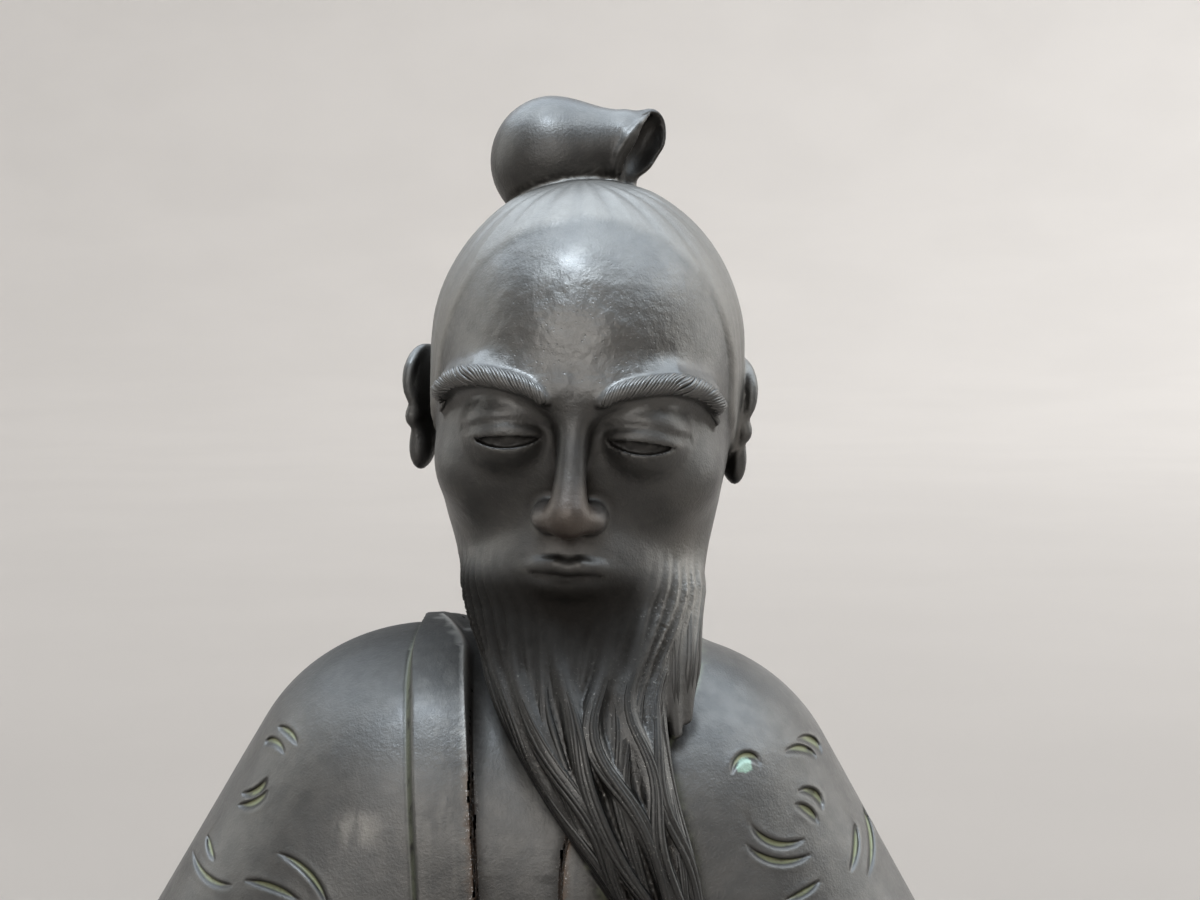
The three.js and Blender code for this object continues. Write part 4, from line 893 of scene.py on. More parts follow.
def mark_relief(mesh):
    """Stores all the marks on a mesh. Points at the rim take those of the wall just above it."""
    p = vertices(mesh)
    p[2] = np.maximum(p[2], RIM["height"])
    f, slope = gradient(lambda q: sampled(bust, q), p, MARK_PROBE)
    steep = np.maximum(length(slope), LEAST_SLOPE)
    normal = slope / steep
    on_robe = np.abs(body(p)) < ROBE_SKIN
    marks = relief_marks(p, normal, f, steep)
    marks.update(robe_marks(p, on_robe))
    marks.update(head_marks(p, normal))
    marks.update(beard_marks(p, on_robe))
    for name, values in marks.items():
        store(mesh, name, values)


# Settings

class CastingSettings(bpy.types.PropertyGroup):
    cell: bpy.props.FloatProperty(
        name="Cell", description="Size of the grid that the surface is made on", default=0.0003,
        min=0.0001, max=0.002, subtype="DISTANCE", unit="LENGTH", precision=5)
    triangles: bpy.props.IntProperty(
        name="Triangles", description="Most triangles in the casting's mesh", default=88000, min=10000)


class StrandSettings(bpy.types.PropertyGroup):
    beard_strands: bpy.props.IntProperty(
        name="Beard strands", description="Strands on each lock of the beard", default=3, min=1, max=12)
    beard_girth: bpy.props.FloatProperty(
        name="Beard strand", description="Radius of a strand of the beard", default=0.00042, min=0.0001,
        max=0.001, subtype="DISTANCE", unit="LENGTH", precision=5)
    brow_hairs: bpy.props.IntProperty(
        name="Brow hairs", description="Tufts of hair along each brow", default=22, min=4, max=60)
    brow_girth: bpy.props.FloatProperty(
        name="Brow hair", description="Radius of a hair of the brow", default=0.00024, min=0.0001,
        max=0.001, subtype="DISTANCE", unit="LENGTH", precision=5)


class PatinaSettings(bpy.types.PropertyGroup):
    bronze: bpy.props.FloatVectorProperty(
        name="Bronze", description="Dark brown patina over most of the casting", subtype="COLOR",
        default=(0.085, 0.083, 0.080), min=0, max=1)
    # Paler worn metal, and also the colour of the painted highlights on the forehead, beard, side lock and
    # lapel's upper edge
    rubbed_and_highlight: bpy.props.FloatVectorProperty(
        name="Rubbed", description="Paler metal where hands have rubbed it", subtype="COLOR",
        default=(0.19, 0.18, 0.165), min=0, max=1)
    # Soot colour: dark patina in the deep hollows, and the black of the painted shade on the face, beard,
    # knot and between the lapels
    soot: bpy.props.FloatVectorProperty(
        name="Soot", description="Black in the deep hollows", subtype="COLOR",
        default=(0.018, 0.016, 0.014), min=0, max=1)
    brown: bpy.props.FloatVectorProperty(
        name="Brown", description="Warm brown on the nose and the lapel's edge", subtype="COLOR",
        default=(0.105, 0.062, 0.036), min=0, max=1)
    # Warmer patina on the combed hair, made paler as a painted reflection on the sides of the head
    warm_and_reflected: bpy.props.FloatVectorProperty(
        name="Warm", description="Warmer, duller patina on the combed hair", subtype="COLOR",
        default=(0.175, 0.167, 0.155), min=0, max=1)
    verdigris: bpy.props.FloatVectorProperty(
        name="Verdigris", description="Yellow-green deposit in the engraved lines", subtype="COLOR",
        default=(0.24, 0.25, 0.14), min=0, max=1)
    mint: bpy.props.FloatVectorProperty(
        name="Mint", description="Pale green crust in the small arch on the right sleeve", subtype="COLOR",
        default=(0.24, 0.35, 0.28), min=0, max=1)
    crust: bpy.props.FloatVectorProperty(
        name="Crust", description="Pale deposit in the lapel's groove and beside the beard", subtype="COLOR",
        default=(0.24, 0.26, 0.17), min=0, max=1)
    chipped: bpy.props.FloatVectorProperty(
        name="Chipped", description="Bright metal in the chips of the lapel's edge", subtype="COLOR",
        default=(0.5, 0.5, 0.5), min=0, max=1)
    roughness: bpy.props.FloatProperty(
        name="Roughness", description="Roughness of the waxed patina", default=0.47, min=0, max=1,
        subtype="FACTOR")


class StageSettings(bpy.types.PropertyGroup):
    lens: bpy.props.FloatProperty(
        name="Lens", description="Focal length of the camera", default=81.8, min=20, max=200)
    distance: bpy.props.FloatProperty(
        name="Distance", description="From the camera to the head", default=0.3, min=0.1, max=2,
        subtype="DISTANCE", unit="LENGTH")
    floor: bpy.props.FloatVectorProperty(
        name="Floor", description="Colour of the floor and backdrop", subtype="COLOR",
        default=(0.66, 0.64, 0.62), min=0, max=1)


# Node trees

class Value:
    """A node's socket that adds, subtracts, multiplies and divides like a number."""

    def __init__(self, nodes, socket):
        self.nodes = nodes
        self.socket = socket

    def _math(self, operation, *values):
        return self.nodes.node("ShaderNodeMath", {"operation": operation}, dict(enumerate(values)))

    def __add__(self, other):
        return self._math("ADD", self, other)

    __radd__ = __add__

    def __sub__(self, other):
        return self._math("SUBTRACT", self, other)

    def __rsub__(self, other):
        return self._math("SUBTRACT", other, self)

    def __mul__(self, other):
        return self._math("MULTIPLY", self, other)

    __rmul__ = __mul__

    def __truediv__(self, other):
        return self._math("DIVIDE", self, other)

    def at_most(self, other):
        return self._math("MINIMUM", self, other)

    def sine(self):
        return self._math("SINE", self)

    def cosine(self):
        return self._math("COSINE", self)


class Nodes:
    """Adds nodes to one tree."""

    def __init__(self, tree):
        self.tree = tree

    def node(self, kind, settings=None, sockets=None, output=0):
        made = self.tree.nodes.new(kind)
        for name, value in (settings or {}).items():
            setattr(made, name, value)
        for name, value in (sockets or {}).items():
            socket = made.inputs[name]
            if isinstance(value, Value):
                self.tree.links.new(value.socket, socket)
            elif socket.type == "RGBA":
                socket.default_value = (*value, 1)
            else:
                socket.default_value = value
        return Value(self, made.outputs[output]) if len(made.outputs) else made

    def vector(self, operation, sockets):
        return self.node("ShaderNodeVectorMath", {"operation": operation}, sockets)


class Finish(Nodes):
    """One material's nodes."""

    def __init__(self, name):
        self.material = bpy.data.materials.new(name)
        self.material.use_nodes = True
        super().__init__(self.material.node_tree)
        self.tree.nodes.clear()
        self.place = self.node("ShaderNodeTexCoord", output="Object")

    def mark(self, name):
        return self.node("ShaderNodeAttribute", {"attribute_name": name}, output="Fac")

    def noise(self, size, detail=2.0, rough=0.5, stretch=(1, 1, 1)):
        """Noise with patches of about the given size in metres."""
        at = self.node("ShaderNodeMapping", sockets={"Vector": self.place, "Scale": stretch})
        return self.node("ShaderNodeTexNoise", sockets={
            "Vector": at, "Scale": 1 / size, "Detail": detail, "Roughness": rough})

    def between(self, value, low, high):
        return self.node("ShaderNodeMapRange", {"interpolation_type": "SMOOTHSTEP"}, {
            "Value": value, "From Min": low, "From Max": high})

    def tint(self, amount, under, over):
        return self.node("ShaderNodeMix", {"data_type": "RGBA"}, {0: amount, 6: under, 7: over}, output=2)

    def bump(self, height, depth):
        return self.node("ShaderNodeBump", sockets={"Height": height, "Distance": depth})

    def finished(self, sockets):
        shader = self.node("ShaderNodeBsdfPrincipled", sockets=sockets)
        self.node("ShaderNodeOutputMaterial", sockets={"Surface": shader})
        return self.material


# The patina

# Size of the patches of each noise in metres, its detail and its roughness, and how it is stretched
NOISES = {
    "cloud": (0.012, 4, 0.5),
    "speck": (0.0009, 3, 0.6),
    "fine": (0.00028, 3, 0.6),
    "dust": (0.0025, 3, 0.5),
    "streak": (0.0012, 3, 0.5, (1, 1, 0.06)),
    "waves": (0.003, 2, 0.5),
    "patches": (0.0018, 3, 0.5),
}
PITS = {"size": 0.00055, "smoothness": 0.4}

# Where a mark or a noise starts to show and where it shows fully
LIMITS = {
    "cloud": (0.35, 0.65), "dust": (0.35, 0.65), "ridge": (0.15, 0.7), "ridge_speck": (0.3, 0.7),
    "lapel_streak": (0.45, 0.7), "worn": (0.1, 0.9), "worn_streak": (0.3, 0.6), "beard_ridge_wear_and_highlight": (0.4, 0.9),
    "deep": (0.12, 0.8), "crease": (0.05, 0.4), "painted_glints": (0.62, 0.7), "edge_speck": (0.3, 0.55),
    "chips": (0.6, 0.63), "patches": (0.25, 0.5), "seam_dust": (0.45, 0.65), "engraved": (0.45, 0.95),
    "mint": (0.3, 0.6), "pits": (0.25, 0.0),
}

# How much of its colour each layer of the patina shows
SHARES = {
    "dust": 0.22, "forehead": 0.18, "ridge": 0.6, "lapel": 0.25, "worn": 0.75, "beard": 0.6,
    "beard_ridge_wear_and_highlight": 0.75, "deep": 0.85, "crease": 0.9, "sooty": 0.7, "knot_mouth": 0.9, "knot_side": 0.6,
    "beard_top": 0.95, "pale_lock": 0.6, "lapel_gap": 0.9, "painted_glints": 0.35, "lapel_rim": 0.8,
    "lapel_edge": 0.85, "nose_tip": 0.6, "groove": 0.35, "seam": 0.6, "engraved": 0.75, "mint_speck": 0.8,
    "mint": 0.85,
}

# How far each thing raises or pits the surface, in depths of the grain, and how much it changes the
# roughness, the metal and the wax
HEIGHTS = {
    "fine": 0.8, "speck": 0.7, "forehead_speck": 0.4, "waves": 1.5, "forehead_waves": 7, "pits": 0.1,
    "forehead_pits": 0.6,
}
MATT = {
    "beard_top": 0.3, "sooty": 0.12, "hair": 0.08, "green": 0.3, "crease": 0.12, "gap": 0.3, "forehead": 0.1,
    "beard": 0.17, "speck": 0.2, "cloud": 0.15,
}
METAL = {"bare": 0.9, "crust": 0.7, "mint": 0.8}
WAX = {"all": 0.2, "forehead": 0.3, "sooty": 0.6, "hair": 0.6, "roughness": 0.25}


def patina(name, grain, tone=1.0):
    """Dark waxed bronze: brown-black, worn paler on ridges, dark patina and painted shade in hollows, painted
    shade and highlights in places, green where it is cut.
    """
    colours = bpy.context.scene.bust_patina
    make = Finish(name)
    cloud, speck, fine, dust, streak, waves, patches = (make.noise(*noise) for noise in NOISES.values())
    pits = make.node("ShaderNodeTexVoronoi", {"feature": "SMOOTH_F1"}, {
        "Vector": make.place, "Scale": 1 / PITS["size"], "Smoothness": PITS["smoothness"]}, output="Distance")
    crease, ridge, mint = make.mark("fine_hollow"), make.mark("ridge"), make.mark("mint")
    bearded, beard_top, gap = make.mark("bearded"), make.mark("beard_top"), make.mark("lapel_gap")
    forehead, sooty, combed = make.mark("forehead"), make.mark("sooty"), make.mark("hair")
    lower_beard = bearded * (1 - beard_top)

    def shade(colour, share=1.0):
        return tuple(share * c for c in getattr(colours, colour))

    def shown(value, limits):
        return make.between(value, *LIMITS[limits])

    browned = make.mark("lapel_edge") * shown(speck, "edge_speck") * SHARES["lapel_edge"]
    patchy = shown(patches, "patches")
    seam = make.mark("beard_seam") * shown(dust, "seam_dust") * SHARES["seam"]
    crust = (make.mark("lapel_groove") * SHARES["groove"] + seam) * patchy
    green = shown(make.mark("engraved"), "engraved") * patchy * SHARES["engraved"]
    minty = shown(mint + (speck - 0.5) * SHARES["mint_speck"], "mint")
    worn = shown(make.mark("worn"), "worn") * shown(streak, "worn_streak")
    layers = [
        (shown(dust, "dust") * SHARES["dust"], shade("rubbed_and_highlight", 0.85 * tone)),
        # Combed hair: warmer patina and a painted reflection
        (combed, shade("warm_and_reflected", tone)),
        # Paler forehead: worn metal and a painted highlight
        (forehead * SHARES["forehead"], shade("rubbed_and_highlight")),
        (shown(ridge, "ridge") * shown(speck, "ridge_speck") * SHARES["ridge"], shade("rubbed_and_highlight", tone)),
        (make.mark("lapel") * shown(streak, "lapel_streak") * SHARES["lapel"], shade("rubbed_and_highlight")),
        (worn * SHARES["worn"], shade("rubbed_and_highlight", 1.2)),
        (bearded * SHARES["beard"], shade("bronze", 0.5)),
        # Paler beard ridges: worn metal and a painted highlight
        (bearded * shown(ridge, "beard_ridge_wear_and_highlight") * SHARES["beard_ridge_wear_and_highlight"], shade("rubbed_and_highlight")),
        # Dark patina and painted shade in the deep hollows
        (shown(make.mark("deep_hollow"), "deep") * SHARES["deep"], shade("soot")),
        # Painted shade in the beard's creases
        (bearded * shown(crease, "crease") * SHARES["crease"], shade("soot")),
        # Painted shade round the eyes, nose and mouth
        (sooty * SHARES["sooty"], shade("soot")),
        # Painted shade inside the topknot's open end
        (make.mark("knot_mouth") * SHARES["knot_mouth"], shade("soot")),
        # Painted shade on the topknot where it faces down or sideways
        (make.mark("knot_side") * SHARES["knot_side"], shade("soot")),
        # Painted shade on the top of the beard, under the chin
        (beard_top * SHARES["beard_top"], shade("soot")),
        # Painted highlight on the right side lock
        (make.mark("pale_lock") * SHARES["pale_lock"], shade("rubbed_and_highlight")),
        # Painted shadow between the lapels
        (gap * SHARES["lapel_gap"], shade("soot")),
        # Painted glints on the lower beard
        (lower_beard * shown(fine, "painted_glints") * SHARES["painted_glints"], shade("rubbed_and_highlight", 2)),
        # Painted highlight along the lapel's upper rim
        (make.mark("lapel_rim") * SHARES["lapel_rim"], shade("rubbed_and_highlight", 1.5)),
        ((browned + make.mark("nose_tip") * SHARES["nose_tip"]).at_most(1), shade("brown")),
        (make.mark("lapel_chips") * shown(fine, "chips"), shade("chipped")),
        (crust, shade("crust")),
        (green, shade("verdigris")),
        (minty * SHARES["mint"], shade("mint")),
    ]
    colour = make.tint(shown(cloud, "cloud"), shade("bronze", 0.85 * tone), shade("bronze", 1.15 * tone))
    for share, over in layers:
        colour = make.tint(share, colour, over)

    pitted = shown(pits, "pits") * (forehead * HEIGHTS["forehead_pits"] + HEIGHTS["pits"])
    height = (fine * HEIGHTS["fine"] + speck * (HEIGHTS["speck"] + forehead * HEIGHTS["forehead_speck"])
              + waves * (HEIGHTS["waves"] + forehead * HEIGHTS["forehead_waves"]) - pitted)
    matt = (beard_top * MATT["beard_top"] + sooty * MATT["sooty"] + combed * MATT["hair"]
            + green * MATT["green"] + crease * MATT["crease"] + gap * MATT["gap"]
            - forehead * MATT["forehead"] - lower_beard * MATT["beard"])
    wax = (WAX["all"] + forehead * WAX["forehead"]) * (1 - (beard_top + gap).at_most(1))
    covered = ((green + crust) * METAL["crust"] + mint * METAL["mint"]).at_most(METAL["bare"])
    return make.finished({
        "Base Color": colour,
        "Metallic": METAL["bare"] - covered,
        "Roughness": colours.roughness + (speck - 0.5) * MATT["speck"] + (cloud - 0.5) * MATT["cloud"] + matt,
        "Normal": make.bump(height, grain),
        "Coat Weight": wax * (1 - sooty * WAX["sooty"]) * (1 - combed * WAX["hair"]),
        "Coat Roughness": WAX["roughness"],
    })


# Strands of carved hair, laid along guide lines

# How far apart the guides' random numbers are drawn, and how much these sway, turn and thicken a strand
CHANCE = {"apart": 32, "sway": 20, "turn": 0.12, "girth": 0.25}
SWAY_ALONG = 9
BEARD_STRANDS = {"Fan": math.radians(115), "Wander": 0.2, "Sides": 6, "Seed": 3}
BROW_STRANDS = {"Strands": 2, "Fan": math.radians(150), "Wander": 0.1, "Sides": 6, "Seed": 5}
BEARD_GUIDES = {"steps": 42, "above": 0.25, "taper": ([0, 0.3, 0.9, 1], [0.15, 1, 1, 0.7])}
SIDE_GUIDES = {"steps": 26, "outward": (0.75, -0.66, 0.0), "taper": ([0, 0.35, 0.8, 1], [0.1, 1, 1, 0.3])}
BROW_GUIDES = {
    "steps": 9, "first": 0.6, "rest": 0.4, "length": 0.075, "middle": (0, 3.0), "below": 2.0,
    "sweep": ([-1, 1], [-60, 80]), "reach": 0.22, "taper": ([-1, -0.5, 0.4, 1], [0.35, 1, 1, 0.15]),
}


def strand_tree():
    """Each guide line becomes a fan of fine tapering strands that lie round its lock."""
    tree = bpy.data.node_groups.new("carved_strands", "GeometryNodeTree")
    face = tree.interface
    face.new_socket("Geometry", in_out="INPUT", socket_type="NodeSocketGeometry")
    for name, kind in (("Strands", "Int"), ("Fan", "Float"), ("Wander", "Float"), ("Sides", "Int"),
                       ("Seed", "Int"), ("Material", "Material")):
        face.new_socket(name, in_out="INPUT", socket_type="NodeSocket" + kind)
    face.new_socket("Geometry", in_out="OUTPUT", socket_type="NodeSocketGeometry")
    make = Nodes(tree)
    group = tree.nodes.new("NodeGroupInput")
    given = {socket.name: Value(make, socket) for socket in group.outputs if socket.name}

    def named(name, kind="FLOAT"):
        return make.node("GeometryNodeInputNamedAttribute", {"data_type": kind}, {"Name": name})

    lines = make.node("GeometryNodeMeshToCurve", sockets={"Mesh": given["Geometry"]})
    copies = tree.nodes.new("GeometryNodeDuplicateElements")
    copies.domain = "SPLINE"
    tree.links.new(lines.socket, copies.inputs["Geometry"])
    tree.links.new(given["Strands"].socket, copies.inputs["Amount"])
    number = Value(make, copies.outputs["Duplicate Index"])
    chance = make.node("FunctionNodeRandomValue", {"data_type": "FLOAT"}, {
        2: -1.0, 3: 1.0, "ID": number + named("guide") * CHANCE["apart"], "Seed": given["Seed"]}, output=1)
    along = make.node("GeometryNodeSplineParameter", output="Factor")
    sway = (along * SWAY_ALONG + chance * CHANCE["sway"]).sine() * given["Wander"]
    turn = ((number + 0.5) / given["Strands"] - 0.5) * given["Fan"] + sway + chance * CHANCE["turn"]
    reach = named("reach")
    out = make.vector("SCALE", {0: named("outward", "FLOAT_VECTOR"), "Scale": reach * turn.cosine()})
    side = make.vector("SCALE", {0: named("across", "FLOAT_VECTOR"), "Scale": reach * turn.sine()})
    moved = make.node("GeometryNodeSetPosition", sockets={
        "Geometry": Value(make, copies.outputs["Geometry"]), "Offset": make.vector("ADD", {0: out, 1: side})})
    girth = named("girth") * (1 + chance * CHANCE["girth"])
    ring = make.node("GeometryNodeCurvePrimitiveCircle", {"mode": "RADIUS"}, {
        "Resolution": given["Sides"], "Radius": 1.0})
    tubes = make.node("GeometryNodeCurveToMesh", sockets={
        "Curve": moved, "Profile Curve": ring, "Scale": girth, "Fill Caps": True})
    smooth = make.node("GeometryNodeSetShadeSmooth", sockets={"Geometry": tubes})
    real = make.node("GeometryNodeRealizeInstances", sockets={"Geometry": smooth})
    done = make.node("GeometryNodeSetMaterial", sockets={"Geometry": real, "Material": given["Material"]})
    end = tree.nodes.new("NodeGroupOutput")
    tree.links.new(done.socket, end.inputs[0])
    return tree


def guide_mesh(name, guides):
    """Guides in millimetres as polylines in metres that keep their directions, reach and girth."""
    points = np.concatenate([g["points"] for g in guides])
    mesh = bpy.data.meshes.new(name)
    edges = []
    first = 0
    for g in guides:
        count = len(g["points"])
        edges += [(first + i, first + i + 1) for i in range(count - 1)]
        first += count
    mesh.from_pydata((points * MM).tolist(), edges, [])
    for key in ("outward", "across"):
        data = np.concatenate([g[key] for g in guides]).astype(REAL)
        mesh.attributes.new(key, "FLOAT_VECTOR", "POINT").data.foreach_set("vector", data.ravel())
    for key in ("reach", "girth"):
        store(mesh, key, np.concatenate([g[key] for g in guides]) * MM)
    store(mesh, "guide", np.concatenate([np.full(len(g["points"]), i) for i, g in enumerate(guides)]))
    return mesh


def unit(rows):
    return rows / np.maximum(np.linalg.norm(rows, axis=1, keepdims=True), 1e-9)


def guide(points, outward, reach, girth):
    """One guide line: its points, the directions across it, and the strands' reach and girth."""
    across = unit(np.cross(unit(np.gradient(points, axis=0)), outward))
    return {"points": points, "outward": unit(outward), "across": across,
            "reach": np.broadcast_to(reach, len(points)), "girth": np.broadcast_to(girth, len(points))}


def strands(name, guides, sizes):
    """The strands of some guide lines as one plain mesh, with the given inputs of their tree."""
    piece = add_object(name, guide_mesh(name + "_guides", guides))
    tree = bpy.data.node_groups.get("carved_strands") or strand_tree()
    modifier = piece.modifiers.new("strands", "NODES")
    modifier.node_group = tree
    for item in tree.interface.items_tree:
        if item.in_out == "INPUT" and item.name in sizes:
            modifier[item.identifier] = sizes[item.name]
    piece = baked(piece)
    for key in ("outward", "across", "reach", "girth", "guide"):
        if key in piece.data.attributes:
            piece.data.attributes.remove(piece.data.attributes[key])
    return piece


def smooth_line(points, knots, at):
    return np.stack([curve(at, knots, points[:, axis]) for axis in range(3)], 1)


def lock_guide(lock, sizes, girth, outward_at):
    """A line down the middle of a lock, above the cut, with strands that taper at its ends."""
    points, radii = lock
    knots = np.arange(len(points))
    at = np.linspace(0, len(points) - 1, sizes["steps"])
    points, radii = smooth_line(points, knots, at), np.interp(at, knots, radii)
    keep = points[:, 2] > BEARD_GUIDES["above"]
    points, radii = points[keep], radii[keep]
    taper = np.interp(np.linspace(0, 1, len(points)), *sizes["taper"])
    reach = radii - girth * (0.5 + 0.5 * (1 - taper))
    return guide(points.astype(float), outward_at(points).astype(float), reach, girth * taper)


def out_of_beard(points):
    x, y, half, thick = beard_at(points[:, 2])
    return np.stack([(points[:, 0] - x) / half, (points[:, 1] - y) / thick, 0 * x], 1)


def out_of_cheek(points):
    return np.broadcast_to(SIDE_GUIDES["outward"], points.shape)


def beard_guides(girth):
    """Lines down the middle of each lock of the beard and the side locks."""
    guides = [lock_guide(lock, BEARD_GUIDES, girth, out_of_beard) for lock in beard_locks]
    return guides + [lock_guide(lock, SIDE_GUIDES, girth, out_of_cheek) for lock in side_locks]


def brow_guides(count, girth):
    """Short hairs that wind up and outwards over each brow."""
    centre, radii = brow
    knots = np.linspace(0, 1, len(centre))
    run = np.linspace(-1, 1, BROW_GUIDES["steps"])
    sweep = np.radians(np.interp(run, *BROW_GUIDES["sweep"]))[:, None]
    taper = np.interp(run, *BROW_GUIDES["taper"])
    guides = []
    for index in range(count):
        share = (index + BROW_GUIDES["first"]) / (count + BROW_GUIDES["rest"])
        at = np.clip(share + run * BROW_GUIDES["length"], 0, 1)
        line = smooth_line(centre, knots, at)
        tangent = unit(np.gradient(line, axis=0))
        inside = np.array([*BROW_GUIDES["middle"], line[BROW_GUIDES["steps"] // 2, 2] - BROW_GUIDES["below"]])
        front = unit(line - inside)
        front = unit(front - tangent * (front * tangent).sum(1, keepdims=True))
        upward = np.cross(tangent, front)
        upward = upward * np.sign(upward[:, 2:3].mean() + 1e-6)
        normal = np.cos(sweep) * front + np.sin(sweep) * upward
        points = line + np.interp(at, knots, radii)[:, None] * normal
        for side in (-1, 1):
            mirror = np.array([side, 1, 1])
            turned = (points * mirror) @ HEAD_TURN.T + np.array(HEAD_MIDDLE)
            guides.append(guide(turned, (normal * mirror) @ HEAD_TURN.T, BROW_GUIDES["reach"], girth * taper))
    return guides


# Operators

GRAIN = {"casting": 0.00006, "beard": 0.00004, "brows": 0.00003}
BEARD_TONE = 0.45


def part_of_bust(piece):
    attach(piece, "root")
    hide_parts("bust")


class BUST_OT_casting(bpy.types.Operator):
    """Make the casting: head, ears, topknot, robe and beard in one closed shell"""
    bl_idname = "bust.casting"
    bl_label = "Casting"

    def execute(self, context):
        settings = context.scene.bust_casting
        cell = settings.cell / MM * 1
        points, faces = surface(bust, BOX_LOW, BOX_HIGH, cell)
        if len(faces) == 0:
            raise RuntimeError("the casting has no surface")
        points = squared_rim(points, cell)
        piece = add_object("casting", mesh_from("casting", points * MM, faces))
        thinned = piece.modifiers.new("thinned", "DECIMATE")
        thinned.ratio = min(1, settings.triangles / (2 * len(faces)))
        piece = baked(piece)
        refined(piece.data, 2, cell)
        shade_above_cut(piece.data)
        mark_relief(piece.data)
        piece.data.materials.append(patina("patina", GRAIN["casting"]))
        part_of_bust(piece)
        return {"FINISHED"}


class BUST_OT_beard(bpy.types.Operator):
    """Lay fine carved strands along the locks of the beard and the side locks"""
    bl_idname = "bust.beard"
    bl_label = "Beard strands"

    def execute(self, context):
        settings = context.scene.bust_strands
        guides = beard_guides(settings.beard_girth / MM)
        material = patina("beard_patina", GRAIN["beard"], BEARD_TONE)
        sizes = {**BEARD_STRANDS, "Strands": settings.beard_strands, "Material": material}
        piece = strands("beard_strands", guides, sizes)
        mark_relief(piece.data)
        part_of_bust(piece)
        return {"FINISHED"}


class BUST_OT_brows(bpy.types.Operator):
    """Lay short slanting hairs over both brows"""
    bl_idname = "bust.brows"
    bl_label = "Brow hairs"

    def execute(self, context):
        settings = context.scene.bust_strands
        guides = brow_guides(settings.brow_hairs, settings.brow_girth / MM)
        sizes = {**BROW_STRANDS, "Material": patina("brow_patina", GRAIN["brows"])}
        piece = strands("brow_hairs", guides, sizes)
        mark_relief(piece.data)
        part_of_bust(piece)
        return {"FINISHED"}


# The stage

# Radius and height of each ring of the floor, in metres
STAGE_RINGS = [
    (0.4, 0.0), (0.9, 0.0), (1.2, 0.02), (1.5, 0.12), (1.75, 0.32), (1.88, 0.6), (1.92, 1.0), (1.92, 1.6),
]
STAGE_SIDES = 96
FLOOR = {"patches": 0.08, "limits": (0.3, 0.7), "shade": 0.97, "roughness": 0.9}
ROOM = {"colour": (0.9, 0.93, 1.0, 1), "strength": 0.09}
CAMERA = {"aim": (0.0066, 0, 0.0585), "rise": math.radians(4), "sensor": 36, "near": 0.01, "far": 20}
LIGHTS = [
    # name, place, aim, size, power, colour, what it shines on
    ("overhead", (0.05, 0.12, 0.62), (0.0, 0.0, 0.06), (1.6, 0.7), 15.0, (0.78, 0.89, 1.0), "bust"),
    ("window", (-0.10, -0.22, 0.62), (0.0, 0.0, 0.07), (0.2, 0.09), 3.0, (0.78, 0.89, 1.0), "bust"),
    ("left_side", (-0.8, 0.2, 0.25), (0.0, 0.0, 0.05), (0.7, 0.7), 2.2, (0.98, 1.0, 0.97), "bust"),
    ("right_side", (0.8, 0.2, 0.35), (0.0, 0.0, 0.07), (0.7, 0.7), 3.2, (0.98, 1.0, 0.98), "bust"),
    ("front_fill", (-0.2, -0.9, 0.35), (0.0, 0.0, 0.03), (1.0, 0.6), 4.5, (1.0, 0.99, 0.97), "bust"),
    ("backdrop", (1.4, 0.9, 2.0), (1.2, 0.9, 0.0), (2.4, 2.4), 60.0, (1.0, 0.985, 0.965), "floor"),
    ("backdrop_right", (1.2, 1.0, 1.0), (0.6, 1.4, 0.1), (0.8, 0.8), 9.0, (0.96, 0.98, 1.0), "floor"),
]


def bowl():
    """A round floor that curves up into a wall on all sides."""
    points = [(0, 0, 0)]
    for radius, height in STAGE_RINGS:
        for k in range(STAGE_SIDES):
            turn = 2 * math.pi * k / STAGE_SIDES
            points.append((radius * math.cos(turn), radius * math.sin(turn), height))
    after = [(k, (k + 1) % STAGE_SIDES) for k in range(STAGE_SIDES)]
    faces = [(0, 1 + k, 1 + following) for k, following in after]
    for ring in range(len(STAGE_RINGS) - 1):
        low, high = 1 + ring * STAGE_SIDES, 1 + (ring + 1) * STAGE_SIDES
        faces += [(low + k, high + k, high + following, low + following) for k, following in after]
    mesh = bpy.data.meshes.new("floor")
    mesh.from_pydata(points, [], faces)
    shade_smooth(mesh)
    return add_object("floor", mesh)


def add_lights(shown):
    """Soft lamps, each on the bust or on the floor alone."""
    for name, place, aim, size, power, colour, shines_on in LIGHTS:
        lamp = bpy.data.lights.new(name, "AREA")
        lamp.shape = "RECTANGLE"
        lamp.size, lamp.size_y = size
        lamp.energy = power
        lamp.color = colour
        holder = add_object(name, lamp)
        holder.location = place
        holder.rotation_euler = (Vector(place) - Vector(aim)).to_track_quat("Z", "Y").to_euler()
        holder.visible_camera = False
        holder.light_linking.receiver_collection = shown[shines_on]


def add_room(scene):
    """The faint light that comes from all round."""
    world = bpy.data.worlds.new("room")
    world.use_nodes = True
    inputs = world.node_tree.nodes["Background"].inputs
    inputs["Color"].default_value = ROOM["colour"]
    inputs["Strength"].default_value = ROOM["strength"]
    scene.world = world


def add_camera(scene, lens, distance):
    camera = bpy.data.cameras.new("camera")
    camera.sensor_width = CAMERA["sensor"]
    camera.lens = lens
    camera.clip_start, camera.clip_end = CAMERA["near"], CAMERA["far"]
    holder = add_object("camera", camera)
    back = Vector((0, -math.cos(CAMERA["rise"]), math.sin(CAMERA["rise"])))
    holder.location = Vector(CAMERA["aim"]) + back * distance
    holder.rotation_euler = back.to_track_quat("Z", "Y").to_euler()
    scene.camera = holder


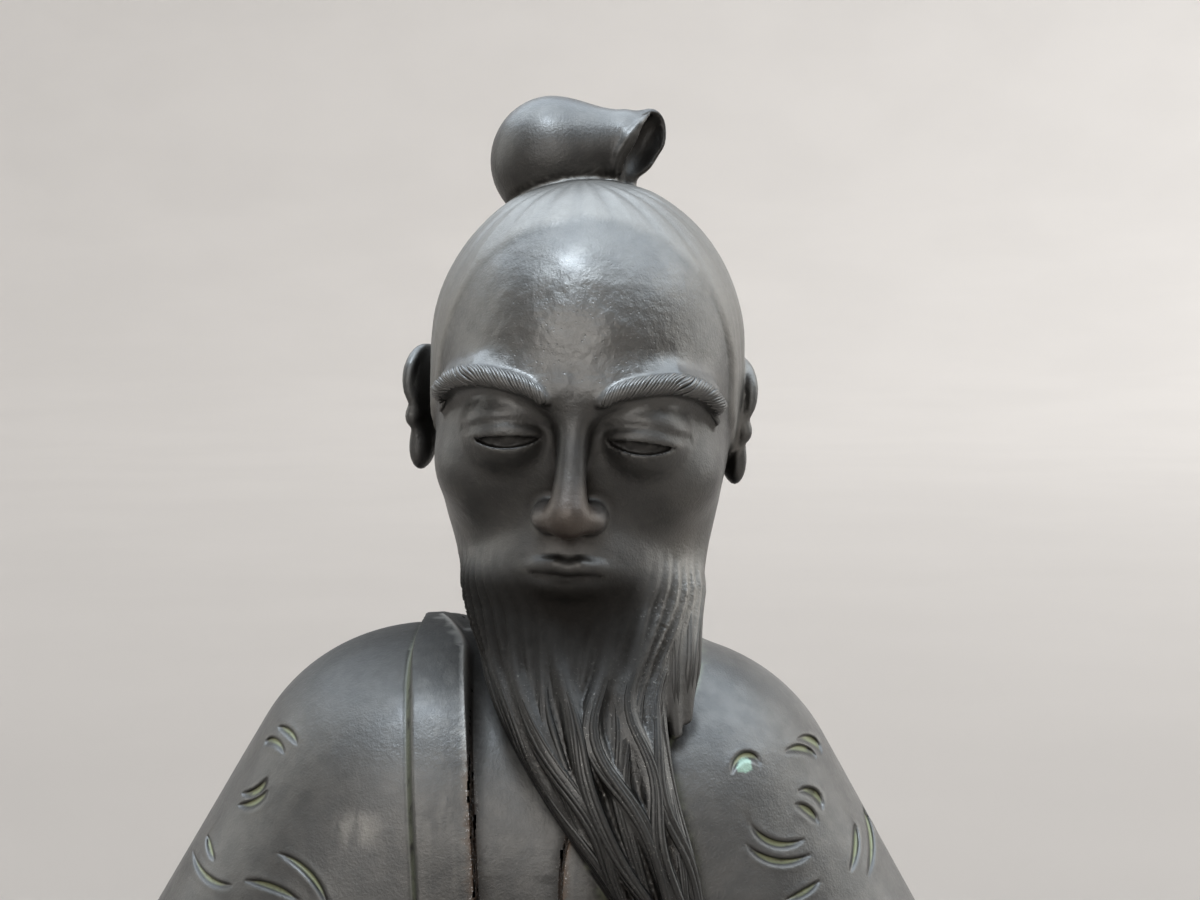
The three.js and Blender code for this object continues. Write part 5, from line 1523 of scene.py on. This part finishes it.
class BUST_OT_stage(bpy.types.Operator):
    """Make the floor, the lights and the camera"""
    bl_idname = "bust.stage"
    bl_label = "Stage"

    def execute(self, context):
        settings = context.scene.bust_stage
        floor = bowl()
        make = Finish("pale_floor")
        patches = make.between(make.noise(FLOOR["patches"], 3), *FLOOR["limits"])
        colour = make.tint(patches, tuple(FLOOR["shade"] * c for c in settings.floor), tuple(settings.floor))
        floor.data.materials.append(make.finished({"Base Color": colour, "Roughness": FLOOR["roughness"]}))
        floor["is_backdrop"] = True
        shown = {name: bpy.data.collections.new(name + "_alone") for name in ("bust", "floor")}
        shown["floor"].objects.link(floor)
        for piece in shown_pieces():
            if piece is not floor:
                shown["bust"].objects.link(piece)
        add_lights(shown)
        add_room(context.scene)
        add_camera(context.scene, settings.lens, settings.distance)
        context.scene.view_settings.view_transform = "Standard"
        return {"FINISHED"}


class BUST_PT_panel(bpy.types.Panel):
    """Lists the steps that make the bust"""
    bl_idname = "BUST_PT_panel"
    bl_label = "Immortal bust"
    bl_space_type = "VIEW_3D"
    bl_region_type = "UI"
    bl_category = "Bust"

    def draw(self, context):
        for settings in (context.scene.bust_casting, context.scene.bust_strands, context.scene.bust_patina,
                         context.scene.bust_stage):
            box = self.layout.box()
            for name in settings.bl_rna.properties.keys():
                if name not in ("rna_type", "name"):
                    box.prop(settings, name)
        for step in STEPS:
            self.layout.operator(step.bl_idname)


SETTINGS = {"bust_casting": CastingSettings, "bust_strands": StrandSettings, "bust_patina": PatinaSettings,
            "bust_stage": StageSettings}
STEPS = [BUST_OT_casting, BUST_OT_beard, BUST_OT_brows, BUST_OT_stage]


def register():
    for made in [*SETTINGS.values(), *STEPS, BUST_PT_panel]:
        bpy.utils.register_class(made)
    for name, group in SETTINGS.items():
        setattr(bpy.types.Scene, name, bpy.props.PointerProperty(type=group))


def unregister():
    for name in SETTINGS:
        delattr(bpy.types.Scene, name)
    for made in [BUST_PT_panel, *STEPS, *SETTINGS.values()]:
        bpy.utils.unregister_class(made)


def main():
    register()
    bpy.ops.bust.casting()
    bpy.ops.bust.beard()
    bpy.ops.bust.brows()
    bpy.ops.bust.stage()


if __name__ == "__main__":
    main()
